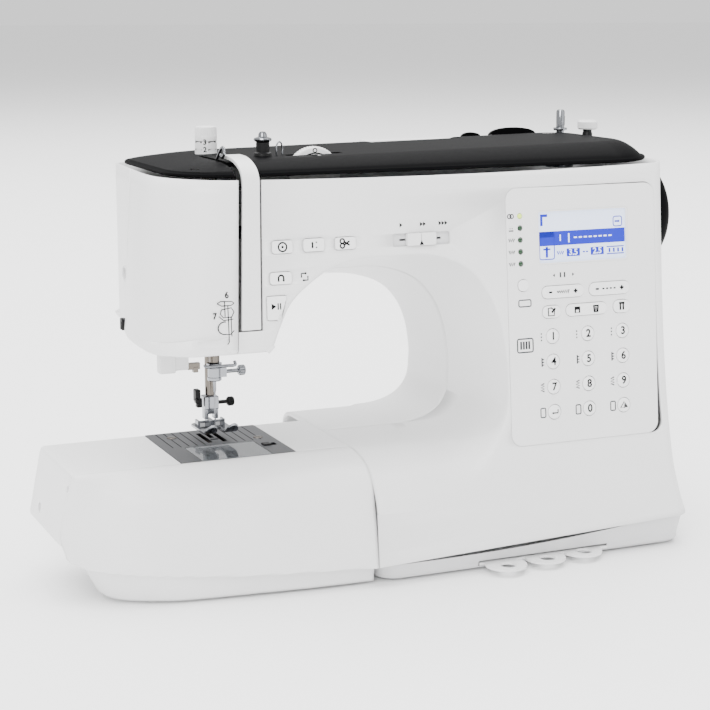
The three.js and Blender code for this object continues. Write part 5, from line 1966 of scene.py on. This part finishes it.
    def plate_and_feed(self) -> None:
        """The needle plate with its slots, lines and screws, the feed teeth and the cover."""
        x = self.x
        rim = rounded_rectangle(-132.2, -62.2, -27.4, 45.4, 1.2)
        opening = rounded_rectangle(-119.5, -76.3, -27.2, 6.3, 1.2)
        release = rounded_rectangle(-74.9, -66.2, -7.6, -1.8, 0.8)
        needle = rounded_rectangle(x - 3.2, x + 2.0, 18.4, 20.6, 1.05)
        slots = []
        for side in (-5.4, -0.8, 3.8):
            low = 23.4 if side == -0.8 else 12.2
            slots.append(rounded_rectangle(x + side - 1.5, x + side + 1.5, low, 37, 0.7))
        blank = laid_flat(plate([rim, opening, release, needle, *slots], 72.4, 74.0))
        publish(
            "needle_plate_steel", blank, BRUSHED_PLATE, "machine", ["needle_plate"], bevel=0.2
        )
        offsets = (10, 15, 20, 25, -10, -15, -20, -25, -30)
        rules = [line([(x + offset, 8.5), (x + offset, 44)], 0.35) for offset in offsets]
        marks = [laid_flat(m) for m in (plate(loops, 73.97, 74.05) for loops in rules)]
        publish("plate_lines", merged(marks), INK, "machine")
        head = [(0, 73.2), (2.9, 73.2), (3.1, 73.6), (2.9, 74.25), (0, 74.4)]
        for number, (sx, sy) in enumerate(((-119.05, 32.4), (-70.55, 14.1))):
            slot = rounded_box((sx - 4, sx + 4), (sy - 0.4, sy + 0.4), (73.9, 76))
            screw = carve(lathe(head, (sx, sy, 0), "z", 32), [slot])
            publish(f"plate_screw_{number + 1}", screw, NICKEL, "machine", closed=False)
        self.feed(slots)
        pane = laid_flat(plate([rounded_rectangle(-119.2, -76.6, -27.0, 6, 1)], 72.6, 73.9))
        publish("bobbin_window", pane, ACRYLIC, "bobbin_lid", ["bobbin_cover"], bevel=0.3)
        tab = rounded_box((-74.6, -69.6), (-7.3, -2.1), (71.4, 74.8))
        publish("cover_release_tab", tab, BLACK_POM, "lid_release", ["cover_release"], bevel=0.5)

    def feed(self, slots: Sequence[np.ndarray]) -> None:
        """The feed dog: a carrier and a row of teeth for each slot.

        A tooth rises over 1.1 mm and falls over 0.2 mm, like a saw's.

        Args:
            slots: the outlines of the slots that the rows work in.
        """
        rows = [
            rounded_box(across, along, (66.6, 69))
            for across, along in (
                ((-104, -99), (8, 39)), ((-92.4, -88.8), (8, 39)), ((-104, -88.8), (24, 39))
            )
        ]
        for slot in slots:
            x0, y0 = slot.min(axis=0)
            x1, y1 = slot.max(axis=0)
            count = int((y1 - y0 - 4) / 1.3)
            teeth = [(y0 + 2, 68.8)]
            for k in range(count):
                teeth += [(y0 + 2 + 1.3 * k, 72.4), (y0 + 3.1 + 1.3 * k, 73.3)]
            teeth += [(y0 + 2 + 1.3 * count, 72.4), (y0 + 2 + 1.3 * count, 68.8)]
            bar, faces = plate([np.array(teeth)], x0 + 0.5, x1 - 0.5)
            rows.append((np.c_[bar[:, 1], bar[:, 0], bar[:, 2]], faces))
        publish("feed_teeth", merged(rows), NICKEL, "feed", ["feed_dog"])

    def build(self) -> None:
        """All of it."""
        self.bars()
        self.foot()
        self.threader()
        self.plate_and_feed()


# ---- Studio -----------------------------------------------------------------------------


@dataclass
class Studio:
    """A pale floor, a white world, soft lamps and the camera."""

    camera_mm: tuple[float, float, float] = (-428.25, -960.0, 329.0)
    yaw: float = 23.4
    pitch: float = 11.17
    focal_px: float = 1767.0  # for a picture 710 px wide
    floor_reach: float = 30000.0

    def camera(self) -> None:
        """The camera: turned yaw degrees from +Y towards +X, and pitched down."""
        data = bpy.data.cameras.new("camera")
        data.sensor_width = 36
        data.lens = 36 * self.focal_px / 710
        data.clip_start = 0.05
        camera = bpy.data.objects.new("camera", data)
        camera.location = [v * MM for v in self.camera_mm]
        camera.rotation_euler = (math.radians(90 - self.pitch), 0, math.radians(-self.yaw))
        bpy.context.scene.collection.objects.link(camera)
        bpy.context.scene.camera = camera

    def lamp(self, name: str, place: Sequence[float], size: float, power: float) -> None:
        """A square soft lamp that faces the middle of the machine.

        Args:
            name: the lamp's name.
            place: its place in metres.
            size: its side in metres.
            power: its power in watts.
        """
        data = bpy.data.lights.new(name, "AREA")
        data.size = size
        data.energy = power
        lamp = bpy.data.objects.new(name, data)
        lamp.location = place
        aim = Vector((0, 0, 0.12)) - Vector(place)
        lamp.rotation_euler = aim.to_track_quat("-Z", "Y").to_euler()
        bpy.context.scene.collection.objects.link(lamp)

    def build(self) -> None:
        """Sets the floor, the world, the lamps and the camera."""
        world = bpy.data.worlds.new("studio")
        world.use_nodes = True
        shade = world.node_tree.nodes["Background"]
        shade.inputs["Color"].default_value = (1, 1, 1, 1)
        shade.inputs["Strength"].default_value = 1.15
        bpy.context.scene.world = world
        floor = Finish("paper_floor", "fafafa", "f8f8f8", 0.9, bump=0.0)
        reach = self.floor_reach
        corners = ((-1, -1), (1, -1), (1, 1), (-1, 1))
        points = np.array([[reach * x, reach * y, 0] for x, y in corners])
        data = bpy.data.meshes.new("floor")
        data.from_pydata((points * MM).tolist(), [], [[0, 1, 2, 3]])
        data.materials.append(floor.material())
        sheet = bpy.data.objects.new("floor", data)
        bpy.context.scene.collection.objects.link(sheet)
        self.lamp("key_lamp", (-1.9, -2.6, 2.2), 2.2, 150)
        self.lamp("fill_lamp", (2.6, -2.4, 1.4), 2.4, 26)
        self.lamp("top_lamp", (0, 0.8, 3.4), 5.0, 440)
        self.camera()


@dataclass
class DriveMotor:
    """The motor inside the base: a turned can with end bells, cooling ribs and a shaft boss."""

    left: float = 98.0
    right: float = 148.0
    y: float = 45.0
    z: float = 48.0
    radius: float = 20.0

    def build(self) -> None:
        """Turns the can's profile about the motor's shaft."""
        a, b, r = self.left, self.right, self.radius
        # One end bell: radius, and distance in from the motor's end.
        bell = [(0, 0), (6, 0), (6.6, 0.6), (6.6, 3), (16, 3.6), (18.6, 5), (19, 9)]
        profile = [(radius, a + inwards) for radius, inwards in bell]
        for rib in range(8):
            x = a + 11 + 3.6 * rib
            profile += [(18.2, x), (r - 0.1, x + 0.3), (r - 0.1, x + 1.7), (18.2, x + 2)]
        profile += [(radius, b - inwards) for radius, inwards in bell[::-1]]
        can = lathe(profile, (0, self.y, self.z), "x", 72)
        publish("drive_motor_can", can, CAST_ALUMINIUM, "machine", ["drive_motor"])


def dress_cad_nodes() -> None:
    """Gives every CAD node that is shown as it is the finish of its material slot."""
    by_slot = {
        "white_plastic": WHITE_ABS,
        "black_plastic": BLACK_ABS,
        "chrome": CHROME,
        "plate_steel": BRUSHED_PLATE,
        "cast_metal": CAST_ALUMINIUM,
        "rubber": RUBBER,
        "key_plastic": KEY_PBT,
        "clear_plastic": ACRYLIC,
        "display": LCD_FIELD,
    }
    slots = {part["node"]: part["material_slot"] for part in frame["record"]["subparts"]}
    for node, name in slots.items():
        dress(node, by_slot[name])


def main() -> None:
    """Builds the studio and every sub-assembly in order."""
    logging.basicConfig(level=logging.INFO, format="%(message)s")
    Studio().build()
    dress_cad_nodes()
    controls = ControlFace()
    Covers().pieces(controls.cover_holes())
    Lid().build()
    ExtensionTable().build()
    FreeArm().build()
    Base().build()
    controls.build()
    FaceDetails().build()
    MainsInlet().build()
    TopFittings().build()
    Handwheel().build()
    NeedleArea().build()
    DriveMotor().build()


if __name__ == "__main__":
    main()
